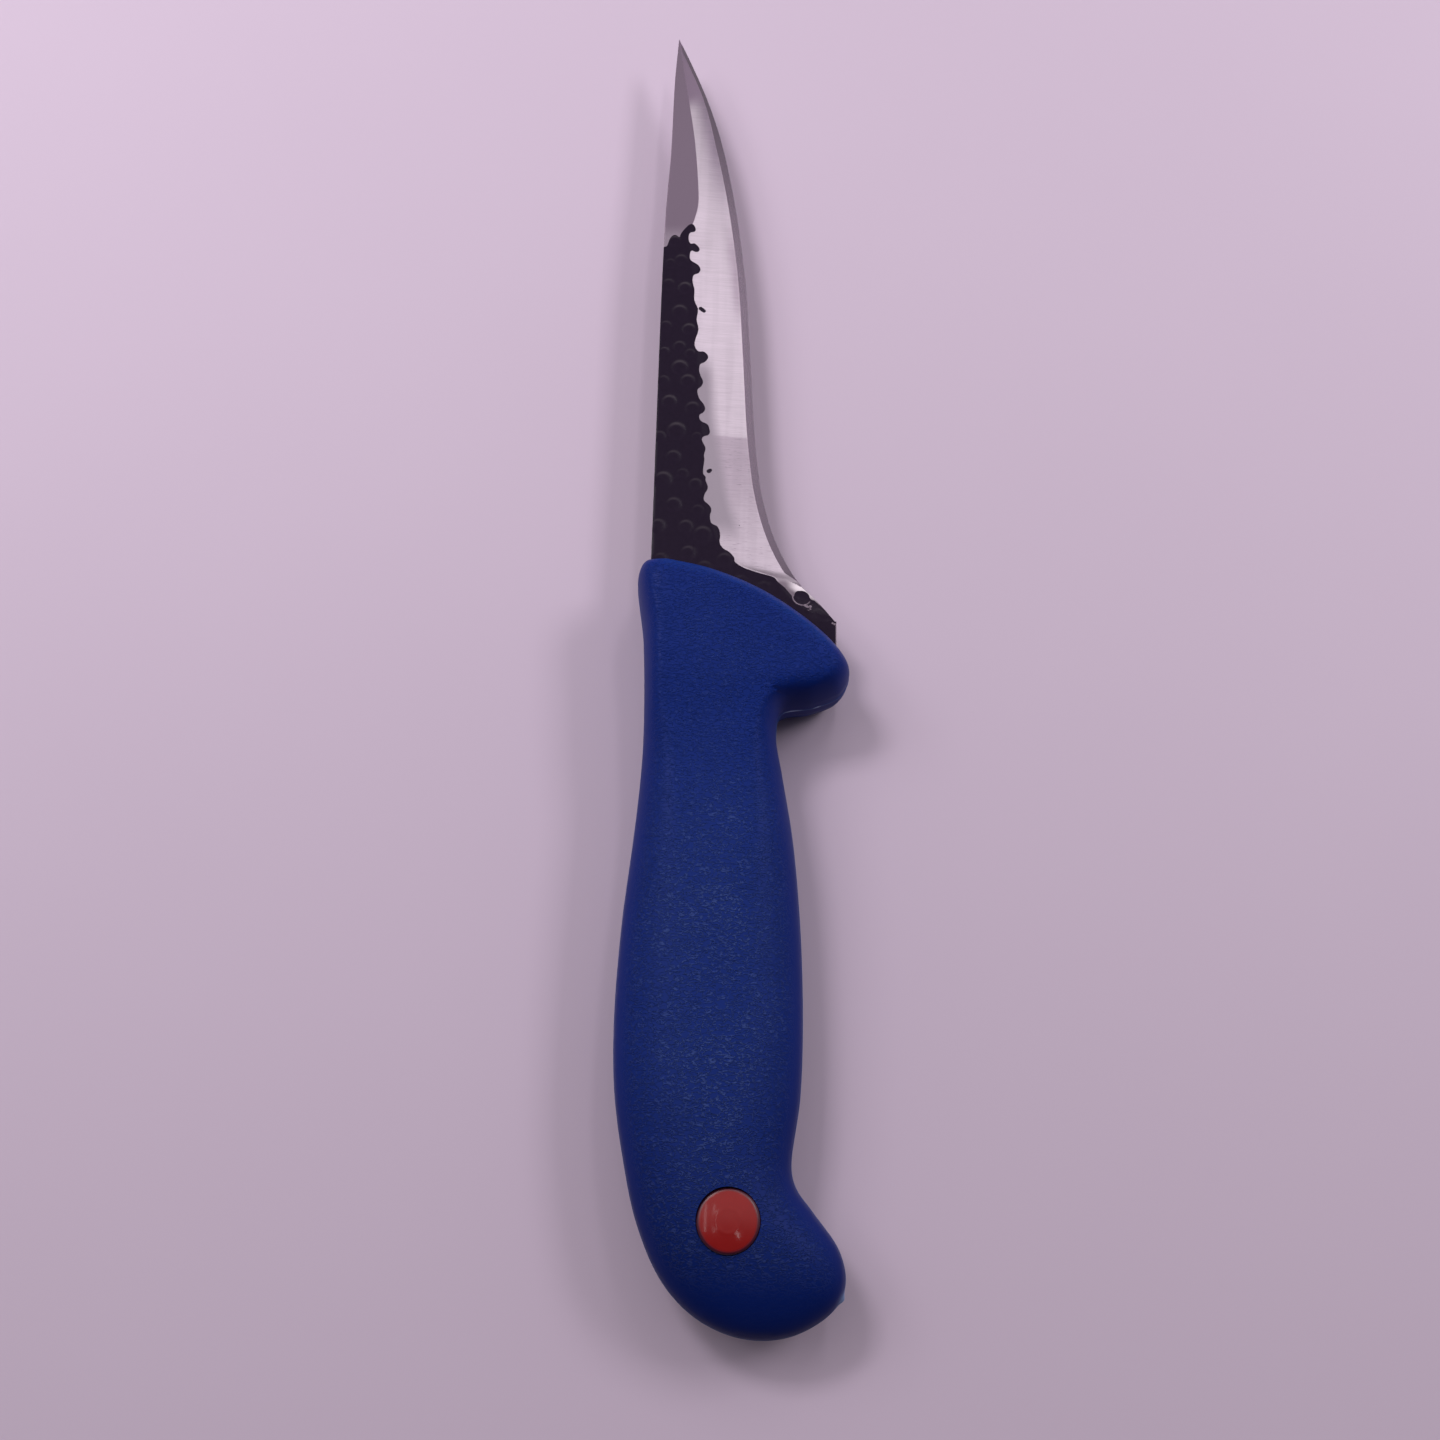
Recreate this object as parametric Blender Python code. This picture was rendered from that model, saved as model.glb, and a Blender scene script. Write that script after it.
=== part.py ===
"""Butcher knife with a moulded handle, lying on its side.

Metres, +Z up. The butt of the handle points to -Y, the tip of the blade to +Y and the cutting
edge to +X. The pieces are drawn round the blade's mid plane, with x = 0 on the line of the spine
and y = 0 at the front of the handle. One empty then carries them, so that the origin lies under
the middle of the whole knife.
"""
import math

import bpy
import numpy as np

# Clearance between pieces that touch.
GAP = 0.0003

# Handle.
HANDLE_LENGTH = 0.1366        # front of the handle at the spine, back to the butt
HANDLE_THICKNESS = 0.0190     # at the bolster, and about that at the palm swell
NECK_THICKNESS = 0.0178       # behind the guard
BUTT_FALL = 0.00375           # how far each face falls away by the very end
FALL_RUN = 0.0306             # length over which it does
NECK_BACK = -0.0001           # the neck's back, across from the spine line
NECK_WIDTH = 0.0243
SWELL_BACK = 0.0030           # how far the palm swell stands out past the neck, on the back
SWELL_EDGE = 0.0051           # and on the cutting edge's side
GUARD_REACH = 0.0376          # spine line to the guard's nose
GUARD_DROP = 0.0226           # front of the handle back to the guard's nose
GUARD_DEPTH = 0.0078          # nose back to the guard's underside
NECK_FILLET = 0.0041          # underside of the guard into the neck
WAIST_FROM_BUTT = 0.0263      # narrow place in front of the hook
WAIST_EDGE = 0.0275           # spine line to the edge's side of that place
HOOK_REACH = 0.0364           # spine line to the nose of the hook
RIM_RADIUS = 0.0036           # rounding of the bolster's and the guard's rims
NECK_RADIUS = 0.0066          # rounding of the neck's sides
GRIP_RADIUS = 0.0162          # rounding of the grip's sides, nearly to its middle
BUTT_RADIUS = 0.0130          # rounding of the butt

# Blade and tang, one piece of sheet.
BLADE_STOCK = 0.0028
BLADE_LENGTH = 0.1262         # front of the handle to the tip
BLADE_WIDTH = 0.0182          # spine to cutting edge at mid length
HEEL_WIDTH = 0.0352           # spine line to the heel's corner
HEEL_DROP = 0.0120            # front of the handle back to the heel's corner
HEEL_SEAT = 0.0215            # front of the handle back to the end of the heel in the guard
SPINE_SEAT = 0.0060           # the same at the spine
SEAT_SLANT = 0.0015           # half the slope of those two ends
POCKET_MOUTH = 0.0030         # how far past the front of the handle its pocket is cut
BEVEL_START = 0.0079          # spine to grind line at mid length
TIP_FACET = 0.0490            # length of the flat grind at the tip
TIP_THICKNESS = 0.0010
SHOULDER_THICKNESS = 0.0008   # where the sharpened strip starts
SHARP_WIDTH = 0.0015          # the sharpened strip
EDGE_THICKNESS = 0.0002
TANG_WIDTH = 0.0135
TANG_END_WIDTH = 0.0105
TANG_END_WALL = 0.0045        # plastic between the tang's end and the plug's seat
ANCHOR_DIAMETER = 0.0050      # holes that the plastic fills
ANCHOR_COUNT = 3

# Colour plug in two halves that push together from both faces.
PLUG_FROM_BUTT = 0.0180
PLUG_X = 0.0171
PLUG_DIAMETER = 0.0101
PLUG_FLANGE = 0.0020          # thickness of each half's disc at its rim
PLUG_CROWN = 0.0008           # how far the disc's dome stands above the handle
STEM_DIAMETER = 0.0064
PIN_DIAMETER = 0.0034
PIN_LENGTH = 0.0050

# Faces round a turned piece, stations along the handle, and rows from its outline inwards.
ROUND_FACES = 40
HANDLE_STATIONS = 38
FRONT_FAN = 22
BUTT_FAN = 22
ROUND_ROWS = 6
FLAT_ROWS = 2

# Colours, as linear values.
HANDLE_BLUE = (0.0125, 0.0250, 0.1250, 1.0)
BLADE_STEEL = (0.4200, 0.3800, 0.4100, 1.0)
PLUG_RED = (0.2300, 0.0200, 0.0250, 1.0)

# Places that follow from the sizes.
BUTT_Y = -HANDLE_LENGTH
NECK_Y = -(GUARD_DROP + GUARD_DEPTH + NECK_FILLET)
WAIST_Y = BUTT_Y + WAIST_FROM_BUTT
PLUG_Y = BUTT_Y + PLUG_FROM_BUTT
PLUG_SEAT_RADIUS = PLUG_DIAMETER / 2 + GAP
TANG_START_Y = -HEEL_SEAT
TANG_END_Y = PLUG_Y + PLUG_SEAT_RADIUS + TANG_END_WALL


def curve_through(knots, steps):
    """Centripetal Catmull-Rom curve through hand-placed points, with so many steps a span."""
    points = np.array(knots, dtype=float)
    ends = np.vstack([2 * points[0] - points[1], points, 2 * points[-1] - points[-2]])
    pieces = []
    for p0, p1, p2, p3 in zip(ends, ends[1:], ends[2:], ends[3:]):
        t1 = math.sqrt(np.linalg.norm(p1 - p0))
        t2 = t1 + math.sqrt(np.linalg.norm(p2 - p1))
        t3 = t2 + math.sqrt(np.linalg.norm(p3 - p2))
        t = np.linspace(t1, t2, steps, endpoint=False)[:, None]
        a1 = p0 + (p1 - p0) * t / t1
        a2 = p1 + (p2 - p1) * (t - t1) / (t2 - t1)
        a3 = p2 + (p3 - p2) * (t - t2) / (t3 - t2)
        b1 = a1 + (a2 - a1) * t / t2
        b2 = a2 + (a3 - a2) * (t - t1) / (t3 - t1)
        pieces.append(b1 + (b2 - b1) * (t - t1) / (t2 - t1))
    return np.vstack(pieces + [points[-1:]])


def ease(value, start, end):
    """Smooth step from 0 at start to 1 at end."""
    share = np.clip((value - start) / (end - start), 0.0, 1.0)
    return share * share * (3.0 - 2.0 * share)


def handle_outline():
    """Points round the handle's mid plane: down the back, round the butt, up to the guard."""
    # Share of the way from neck to waist, then how full the swell is on the back and the edge.
    swell = [(0.11, 0.06, 0.25), (0.26, 0.33, 0.62), (0.47, 0.81, 0.90),
             (0.69, 1.00, 1.00), (0.85, 0.78, 0.92)]
    neck_edge = NECK_BACK + NECK_WIDTH
    back = [(0.09 * GUARD_REACH, -0.0013), (-0.0009, -0.0019), (-0.0022, -0.0040),
            (-0.0008, -0.0170), (NECK_BACK, NECK_Y)]
    edge = [(neck_edge, NECK_Y)]
    for along, back_share, edge_share in swell:
        y = NECK_Y + along * (WAIST_Y - NECK_Y)
        back.append((NECK_BACK - back_share * SWELL_BACK, y))
        edge.append((neck_edge + edge_share * SWELL_EDGE, y))
    butt_back = [(-0.0002, 0.0256), (0.0019, 0.0178), (0.0053, 0.0103), (0.0088, 0.0058),
                 (0.0130, 0.0026), (0.0179, 0.0006), (0.0229, 0.0)]
    back += [(x, BUTT_Y + y) for x, y in butt_back]
    hook = [(0.0279, 0.0008), (0.0329, 0.0034), (HOOK_REACH - 0.0010, 0.0060),
            (HOOK_REACH, 0.0093), (HOOK_REACH - 0.0011, 0.0139), (0.0310, 0.0197),
            (0.0284, 0.0231)]
    butt_edge = [(x, BUTT_Y + y) for x, y in hook] + [(WAIST_EDGE, WAIST_Y)]
    guard = [(0.0252, -(GUARD_DROP + GUARD_DEPTH)),
             (0.0310, -(GUARD_DROP + 0.83 * GUARD_DEPTH)),
             (GUARD_REACH - 0.0016, -(GUARD_DROP + 0.51 * GUARD_DEPTH)),
             (GUARD_REACH, -GUARD_DROP),
             (0.92 * GUARD_REACH, -0.77 * GUARD_DROP),
             (0.62 * GUARD_REACH, -0.37 * GUARD_DROP),
             (0.33 * GUARD_REACH, -0.15 * GUARD_DROP), back[0]]
    return curve_through(back + butt_edge + edge[::-1] + guard, 24)


def distance_inside(points, outline):
    """Distance from each point to the nearest stretch of the outline."""
    start = outline[:-1]
    step = outline[1:] - start
    away = points[:, None, :] - start[None, :, :]
    share = np.clip((away * step).sum(2) / (step * step).sum(1), 0.0, 1.0)
    return np.sqrt(((away - share[:, :, None] * step) ** 2).sum(2)).min(1)


def reach_inside(points, outline):
    """Smooth distance from the outline, with no ridge halfway between two sides.

    It is the cube root of pi over twice the sum of length / distance^4 round the outline, which
    equals the distance near it. Close to the outline the plain distance takes over.
    """
    plain = distance_inside(points, outline)
    length = np.linalg.norm(np.diff(outline, axis=0), axis=1)
    middle = (outline[1:] + outline[:-1]) / 2
    square = ((points[:, None, :] - middle[None, :, :]) ** 2).sum(2) + 1e-12
    smooth = np.cbrt(math.pi / (2.0 * (length / square ** 2).sum(1)))
    return plain + (smooth - plain) * ease(plain, 0.0005, 0.0012)


def half_thickness(y):
    """Half the handle's thickness where it is fullest, from bolster to butt."""
    waist = ease(y, NECK_Y + 0.010, NECK_Y) * ease(y, NECK_Y - 0.026, NECK_Y - 0.006)
    thinner = (HANDLE_THICKNESS - NECK_THICKNESS) / 2 * waist
    fall = BUTT_FALL * np.clip((BUTT_Y + FALL_RUN - y) / FALL_RUN, 0.0, 1.0) ** 2
    return HANDLE_THICKNESS / 2 - thinner - fall


def edge_rounding(y):
    """How far in from the outline the handle is rounded, from bolster to butt."""
    to_neck = ease(y, NECK_Y + 0.006, NECK_Y - 0.010)
    to_grip = ease(y, NECK_Y - 0.006, NECK_Y - 0.058)
    to_butt = ease(y, WAIST_Y + 0.006, WAIST_Y - 0.014)
    radius = RIM_RADIUS + (NECK_RADIUS - RIM_RADIUS) * to_neck
    radius = radius + (GRIP_RADIUS - NECK_RADIUS) * to_grip
    return radius + (BUTT_RADIUS - GRIP_RADIUS) * to_butt


def handle_height(points, outline):
    """Height over the mid plane: half thickness times an ellipse's quarter of the reach."""
    y = points[:, 1]
    past = 1.0 - np.clip(reach_inside(points, outline) / edge_rounding(y), 0.0, 1.0)
    return half_thickness(y) * np.sqrt(1.0 - past ** 2)


def plug_level():
    """Height of the handle's face round the plug, the mean over a ring."""
    angle = np.linspace(0.0, 2 * math.pi, 24, endpoint=False)
    ring = np.stack([PLUG_X + PLUG_SEAT_RADIUS * np.cos(angle),
                     PLUG_Y + PLUG_SEAT_RADIUS * np.sin(angle)], axis=1)
    return float(handle_height(ring, handle_outline()).mean())


def make_object(name, verts, faces, material=None, smooth=True):
    """Mesh object from points and faces, carried by the knife's empty."""
    mesh = bpy.data.meshes.new(name)
    mesh.from_pydata([tuple(v) for v in verts], [], [tuple(f) for f in faces])
    mesh.update()
    if smooth:
        mesh.shade_smooth()
        mesh.set_sharp_from_angle(angle=math.radians(35))
    item = bpy.data.objects.new(name, mesh)
    bpy.context.scene.collection.objects.link(item)
    item.parent = knife
    if material:
        mesh.materials.append(material)
    return item


def make_material(name, colour, roughness, metallic):
    """Principled material with a colour and a finish."""
    material = bpy.data.materials.new(name)
    material.use_nodes = True
    shader = material.node_tree.nodes["Principled BSDF"]
    shader.inputs["Base Color"].default_value = colour
    shader.inputs["Roughness"].default_value = roughness
    shader.inputs["Metallic"].default_value = metallic
    return material


def cut(item, cutter):
    """Take the cutter's shape out of the item, and leave the cutter out of the model."""
    modifier = item.modifiers.new("cut_" + cutter.name, "BOOLEAN")
    modifier.operation = "DIFFERENCE"
    modifier.solver = "EXACT"
    modifier.object = cutter
    cutter.hide_render = True
    cutter.display_type = "WIRE"


def turned(name, profile, x, y, material=None):
    """Turn a profile of (radius, z) about a standing axis; its two ends lie on the axis."""
    verts = [(x, y, profile[0][1])]
    for radius, z in profile[1:-1]:
        for k in range(ROUND_FACES):
            angle = 2 * math.pi * k / ROUND_FACES
            verts.append((x + radius * math.cos(angle), y + radius * math.sin(angle), z))
    verts.append((x, y, profile[-1][1]))
    last = len(verts) - 1
    rings = len(profile) - 2
    faces = []
    for k in range(ROUND_FACES):
        n = (k + 1) % ROUND_FACES
        faces.append((0, 1 + k, 1 + n))
        for ring in range(rings - 1):
            a = 1 + ring * ROUND_FACES
            b = a + ROUND_FACES
            faces.append((a + k, b + k, b + n, a + n))
        a = 1 + (rings - 1) * ROUND_FACES
        faces.append((last, a + n, a + k))
    return make_object(name, verts, faces, material)


def handle_centreline():
    """Line inside the handle that its sections meet on, from the bolster to the butt."""
    neck_x = NECK_BACK + NECK_WIDTH / 2
    grip_x = neck_x + (SWELL_EDGE - SWELL_BACK) / 2
    knots = [(neck_x + 0.0020, -0.72 * GUARD_DROP), (neck_x, NECK_Y),
             (grip_x, 0.31 * NECK_Y + 0.69 * WAIST_Y), (WAIST_EDGE / 2, WAIST_Y),
             (0.0205, BUTT_Y + 0.0145)]
    return curve_through(knots, 40)


def make_handle(material):
    """Skin of the handle, a grid from its outline up to its centreline on both faces."""
    outline = handle_outline()
    line = handle_centreline()
    run = np.append(0.0, np.cumsum(np.linalg.norm(np.diff(line, axis=0), axis=1)))
    round_run = np.append(0.0, np.cumsum(np.linalg.norm(np.diff(outline, axis=0), axis=1)))
    nearest = ((outline[:, None, :] - line[None, :, :]) ** 2).sum(2).argmin(1)
    first_back = np.nonzero(nearest > 0)[0][0]
    last_edge = np.nonzero(nearest > 0)[0][-1]
    butt = np.nonzero(nearest == len(line) - 1)[0]
    even = np.linspace(0.0, 1.0, HANDLE_STATIONS + 1)
    stations = run[-1] * (0.6 * even + 0.4 * ease(even, 0.0, 1.0))
    back = np.interp(stations, run[nearest[first_back:butt[0] + 1]],
                     round_run[first_back:butt[0] + 1])
    edge = np.interp(stations, run[nearest[butt[-1]:last_edge + 1]][::-1],
                     round_run[butt[-1]:last_edge + 1][::-1])
    butt_fan = np.linspace(back[-1], edge[-1], BUTT_FAN + 2)[1:-1]
    front_fan = np.linspace(edge[0], back[0] + round_run[-1], FRONT_FAN + 2)[1:-1]
    where = np.concatenate([back, butt_fan, edge[::-1], front_fan]) % round_run[-1]
    rim = np.stack([np.interp(where, round_run, outline[:, i]) for i in (0, 1)], axis=1)
    ends = HANDLE_STATIONS
    centre_of = np.concatenate([np.arange(ends + 1), np.full(BUTT_FAN, ends),
                                np.arange(ends, -1, -1), np.zeros(FRONT_FAN, dtype=int)])
    centre = np.stack([np.interp(stations, run, line[:, i]) for i in (0, 1)], axis=1)

    # Rows crowd towards the outline as the points of a quarter circle do.
    reach = np.linalg.norm(rim - centre[centre_of], axis=1)
    rounded = np.minimum(edge_rounding(rim[:, 1]) / reach, 0.88)
    turn = np.arange(1, ROUND_ROWS + 1) / ROUND_ROWS * math.pi / 2
    rows = [rounded * (1.0 - math.cos(a)) for a in turn]
    rows += [rounded + (1.0 - rounded) * k / (FLAT_ROWS + 1) for k in range(1, FLAT_ROWS + 1)]

    count = len(rim)
    inner = [rim + (centre[centre_of] - rim) * row[:, None] for row in rows]
    flat = np.vstack(inner + [centre])
    height = handle_height(flat, outline)
    upper = np.column_stack([flat, height])
    lower = np.column_stack([flat, -height])
    verts = np.vstack([np.column_stack([rim, np.zeros(count)]), upper, lower])
    faces = []
    for side, base in ((1, count), (-1, count + len(upper))):
        ring_starts = [0] + [base + k * count for k in range(len(rows))]
        hub = base + len(rows) * count
        for k in range(count):
            n = (k + 1) % count
            loops = [(a + k, a + n, b + n, b + k) for a, b in zip(ring_starts, ring_starts[1:])]
            a = ring_starts[-1]
            if centre_of[k] == centre_of[n]:
                loops.append((a + k, a + n, hub + centre_of[k]))
            else:
                loops.append((a + k, a + n, hub + centre_of[n], hub + centre_of[k]))
            faces += [loop[::side] for loop in loops]
    return make_object("handle", verts, faces, material)


def blade_limits(y):
    """Spine side and edge side of the sheet at a place along the knife."""
    tip_y = BLADE_LENGTH
    spine = [(0.0, 0.0), (0.0, 0.62 * tip_y), (0.0006, 0.75 * tip_y),
             (0.0008, 0.91 * tip_y), (0.0013, tip_y)]
    flare = HEEL_WIDTH - BLADE_WIDTH
    edge = [(HEEL_WIDTH, -HEEL_DROP), (BLADE_WIDTH + 0.77 * flare, -0.0072),
            (BLADE_WIDTH + 0.555 * flare, -0.0030), (BLADE_WIDTH + 0.335 * flare, 0.0042),
            (BLADE_WIDTH + 0.17 * flare, 0.11 * tip_y), (1.068 * BLADE_WIDTH, 0.21 * tip_y),
            (BLADE_WIDTH, 0.36 * tip_y), (0.926 * BLADE_WIDTH, 0.51 * tip_y),
            (0.775 * BLADE_WIDTH, 0.67 * tip_y), (0.606 * BLADE_WIDTH, 0.79 * tip_y),
            (0.433 * BLADE_WIDTH, 0.873 * tip_y), (0.208 * BLADE_WIDTH, 0.958 * tip_y),
            (0.0015, tip_y)]
    spine = curve_through(spine, 12)
    edge = curve_through(edge, 12)
    return np.interp(y, spine[:, 1], spine[:, 0]), np.interp(y, edge[:, 1], edge[:, 0])


def grind_line(y):
    """Where the bevel starts, measured from the spine line."""
    tip_y = BLADE_LENGTH
    line = [(0.79 * HEEL_WIDTH, -0.0046), (0.64 * HEEL_WIDTH, -0.0026),
            (0.44 * HEEL_WIDTH, 0.0005), (1.52 * BEVEL_START, 0.0050),
            (1.35 * BEVEL_START, 0.0128), (1.14 * BEVEL_START, 0.205 * tip_y),
            (BEVEL_START, 0.35 * tip_y), (0.78 * BEVEL_START, 0.52 * tip_y),
            (0.71 * BEVEL_START, 0.61 * tip_y), (0.84 * BEVEL_START, 0.68 * tip_y),
            (0.63 * BEVEL_START, 0.82 * tip_y), (0.43 * BEVEL_START, 0.905 * tip_y),
            (0.0014, tip_y)]
    line = curve_through(line, 12)
    return np.interp(y, line[:, 1], line[:, 0])


def tang_limits(y):
    """Back and edge side of the tang, which tapers along the middle of the grip."""
    share = (y - TANG_START_Y) / (TANG_END_Y - TANG_START_Y)
    middle_front = NECK_BACK + NECK_WIDTH / 2
    middle = middle_front + (WAIST_EDGE / 2 - middle_front) * share
    half = (TANG_WIDTH + (TANG_END_WIDTH - TANG_WIDTH) * share) / 2
    return middle - half, middle + half


def seat_sides(grow):
    """Both sides of the sheet inside the handle, grown by a clearance, from front to tang's end."""
    left_front, right_front = tang_limits(TANG_START_Y)
    left_end, right_end = tang_limits(TANG_END_Y)
    radius = (right_end - left_end) / 2
    middle = (right_end + left_end) / 2
    left = [(-grow, -SPINE_SEAT + SEAT_SLANT - grow), (left_front - grow, -SPINE_SEAT - SEAT_SLANT)]
    right = [(HEEL_WIDTH + grow, -HEEL_SEAT + SEAT_SLANT - grow),
             (right_front + grow, -HEEL_SEAT - SEAT_SLANT - grow)]
    for turn in np.linspace(0.5, 0.06, 6) * math.pi:
        y = TANG_END_Y + radius - (radius + grow) * math.cos(turn)
        left.append((middle - (radius + grow) * math.sin(turn), y))
        right.append((middle + (radius + grow) * math.sin(turn), y))
    return np.array(left), np.array(right)


def anchor_places():
    """Middles of the tang's anchor holes, evenly spread along it."""
    places = []
    for k in range(ANCHOR_COUNT):
        y = TANG_START_Y + (TANG_END_Y - TANG_START_Y) * (k + 0.75) / (ANCHOR_COUNT + 0.25)
        left, right = tang_limits(y)
        places.append(((left + right) / 2, y))
    return places


def rod(name, x, y, radius, half_height):
    """Standing rod across the mid plane."""
    profile = [(0.0, half_height), (radius, half_height), (radius, -half_height),
               (0.0, -half_height)]
    return turned(name, profile, x, y)


def loft(name, sections, material=None):
    """Closed skin over sections that have the same number of points, capped at both ends."""
    ring = len(sections[0])
    faces = [tuple(range(ring))]
    for a in range(0, ring * (len(sections) - 1), ring):
        b = a + ring
        faces += [(a + k, b + k, b + (k + 1) % ring, a + (k + 1) % ring) for k in range(ring)]
    last = ring * (len(sections) - 1)
    faces.append(tuple(range(last + ring - 1, last - 1, -1)))
    verts = [point for section in sections for point in section]
    return make_object(name, verts, faces, material, smooth=False)


def section(y, across, heights):
    """Points round one section of the sheet: over the upper face, back along the lower one."""
    upper = [(x, y, z) for x, z in zip(across, heights)]
    return upper + [(x, y, -z) for x, z in zip(across[::-1], heights[::-1])]


def blade_section(y):
    """Section of the part that shows: flat, bevel, sharpened strip and edge."""
    spine, edge = blade_limits(y)
    left, _ = seat_sides(0.0)
    spine = float(np.interp(y, left[::-1, 1], left[::-1, 0], right=spine))
    strip = min(SHARP_WIDTH, 0.42 * (edge - spine))
    shoulder = edge - strip
    past_grind = float(ease(y, -0.0040, -0.0052))
    grind = min(float(grind_line(y)), shoulder - 0.0003)
    grind += (shoulder - 0.0003 - grind) * past_grind
    grind = max(grind, spine + 0.25 * (shoulder - spine))
    along_facet = min(max((y - BLADE_LENGTH + TIP_FACET) / TIP_FACET, 0.0), 1.0)
    flat = (BLADE_STOCK - (BLADE_STOCK - TIP_THICKNESS) * along_facet ** 1.2) / 2
    thick_heel = float(ease(y, 0.0020, -0.0050))
    thin = (SHOULDER_THICKNESS + (0.8 * BLADE_STOCK - SHOULDER_THICKNESS) * thick_heel) / 2
    return section(y, (spine, grind, shoulder, edge),
                   (flat, flat, min(thin, 0.8 * flat), EDGE_THICKNESS / 2))


def seat_section(y, half, grow):
    """Section of the plain sheet inside the handle."""
    left, right = seat_sides(grow)
    start = float(np.interp(-y, -left[:, 1], left[:, 0]))
    end = float(np.interp(-y, -right[:, 1], right[:, 0]))
    return section(y, np.linspace(start, end, 4), (half,) * 4)


def make_blade(material):
    """Blade and tang in one, as sections from the tip to the tang's end."""
    tip_shares = (1.0, 0.994, 0.98, 0.955, 0.92, 0.873, 0.83, 0.79, 0.74, 0.69, 0.65, 0.61,
                  0.57, 0.53, 0.48, 0.42, 0.36, 0.30, 0.25, 0.21, 0.17, 0.14, 0.11, 0.085)
    near_heel = (0.0080, 0.0060, 0.0040, 0.0022, 0.0008, -0.0005, -0.0016, -0.0026, -0.0036,
                 -0.0040, -0.0046, -0.0052)
    left, right = seat_sides(0.0)
    stations = [BLADE_LENGTH * share for share in tip_shares] + list(near_heel)
    stations += [y for y in left[:2, 1] if y > -HEEL_DROP]
    stations += [-HEEL_DROP + 0.0030, -HEEL_DROP]
    sections = [blade_section(y) for y in sorted(stations, reverse=True)]
    hidden = [-HEEL_DROP - 0.0002] + list(right[:, 1]) + [y for y in left[:2, 1] if y < -HEEL_DROP]
    sections += [seat_section(y, BLADE_STOCK / 2, 0.0) for y in sorted(hidden, reverse=True)]
    blade = loft("blade", sections, material)
    for k, (x, place) in enumerate(anchor_places()):
        hole = rod("anchor_hole_%d" % (k + 1), x, place, ANCHOR_DIAMETER / 2, BLADE_STOCK)
        cut(blade, hole)
    return blade


def pocket_cutter():
    """Space in the handle for the heel and the tang, with the moulded posts left standing."""
    left, right = seat_sides(GAP)
    half = BLADE_STOCK / 2 + GAP
    plan = [(HEEL_WIDTH + GAP, POCKET_MOUTH), (-GAP, POCKET_MOUTH)]
    plan += [tuple(point) for point in left] + [tuple(point) for point in right[::-1]]
    verts = [(x, y, z) for z in (half, -half) for x, y in plan]
    count = len(plan)
    faces = [tuple(range(count)), tuple(range(2 * count - 1, count - 1, -1))]
    faces += [(k, count + k, count + (k + 1) % count, (k + 1) % count) for k in range(count)]
    pocket = make_object("pocket", verts, faces, smooth=False)
    for k, (x, place) in enumerate(anchor_places()):
        post = rod("anchor_post_%d" % (k + 1), x, place, ANCHOR_DIAMETER / 2 - GAP, BLADE_STOCK)
        cut(pocket, post)
    return pocket


def plug_bore_cutter(face):
    """Bore for the stem with a seat for a disc at each face."""
    seat = face - PLUG_FLANGE - GAP
    bore = STEM_DIAMETER / 2 + GAP
    past = face + 0.0020
    profile = [(0.0, past), (PLUG_SEAT_RADIUS, past), (PLUG_SEAT_RADIUS, seat), (bore, seat),
               (bore, -seat), (PLUG_SEAT_RADIUS, -seat), (PLUG_SEAT_RADIUS, -past), (0.0, -past)]
    return turned("plug_bore", profile, PLUG_X, PLUG_Y)


def disc_profile(face):
    """Outer face of a plug's disc from its middle to its rim: a low dome, then the rim."""
    radius = PLUG_DIAMETER / 2
    dome = [(share * radius, face + PLUG_CROWN * (1.0 - 0.94 * share ** 2))
            for share in (0.0, 0.3, 0.55, 0.75, 0.92)]
    return dome + [(radius, face - 0.0002), (radius, face - PLUG_FLANGE)]


def make_plug(face, material):
    """Head with its stem and pin from above, and the cap with its sleeve from below."""
    stem = STEM_DIAMETER / 2
    pin = PIN_DIAMETER / 2
    head = disc_profile(face) + [(stem, face - PLUG_FLANGE), (stem, GAP), (pin, GAP),
                                 (pin, GAP - PIN_LENGTH), (0.0, GAP - PIN_LENGTH)]
    socket = pin + GAP
    floor = -PIN_LENGTH
    cap = disc_profile(face) + [(stem, face - PLUG_FLANGE), (stem, 0.0), (socket, 0.0),
                                (socket, -floor), (0.0, -floor)]
    turned("plug_head", head, PLUG_X, PLUG_Y, material)
    turned("plug_cap", [(radius, -z) for radius, z in cap][::-1], PLUG_X, PLUG_Y, material)


for old in list(bpy.data.objects):
    bpy.data.objects.remove(old, do_unlink=True)

outline_points = handle_outline()
knife = bpy.data.objects.new("knife", None)
bpy.context.scene.collection.objects.link(knife)
knife.location = (-(outline_points[:, 0].min() + outline_points[:, 0].max()) / 2,
                  -(outline_points[:, 1].min() + BLADE_LENGTH) / 2, HANDLE_THICKNESS / 2)

steel = make_material("ground_steel", BLADE_STEEL, 0.38, 1.0)
blue = make_material("blue_plastic", HANDLE_BLUE, 0.45, 0.0)
red = make_material("red_plastic", PLUG_RED, 0.30, 0.0)

plug_face = plug_level()
handle = make_handle(blue)
cut(handle, pocket_cutter())
cut(handle, plug_bore_cutter(plug_face))
make_blade(steel)
make_plug(plug_face, red)
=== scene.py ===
import math

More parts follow.
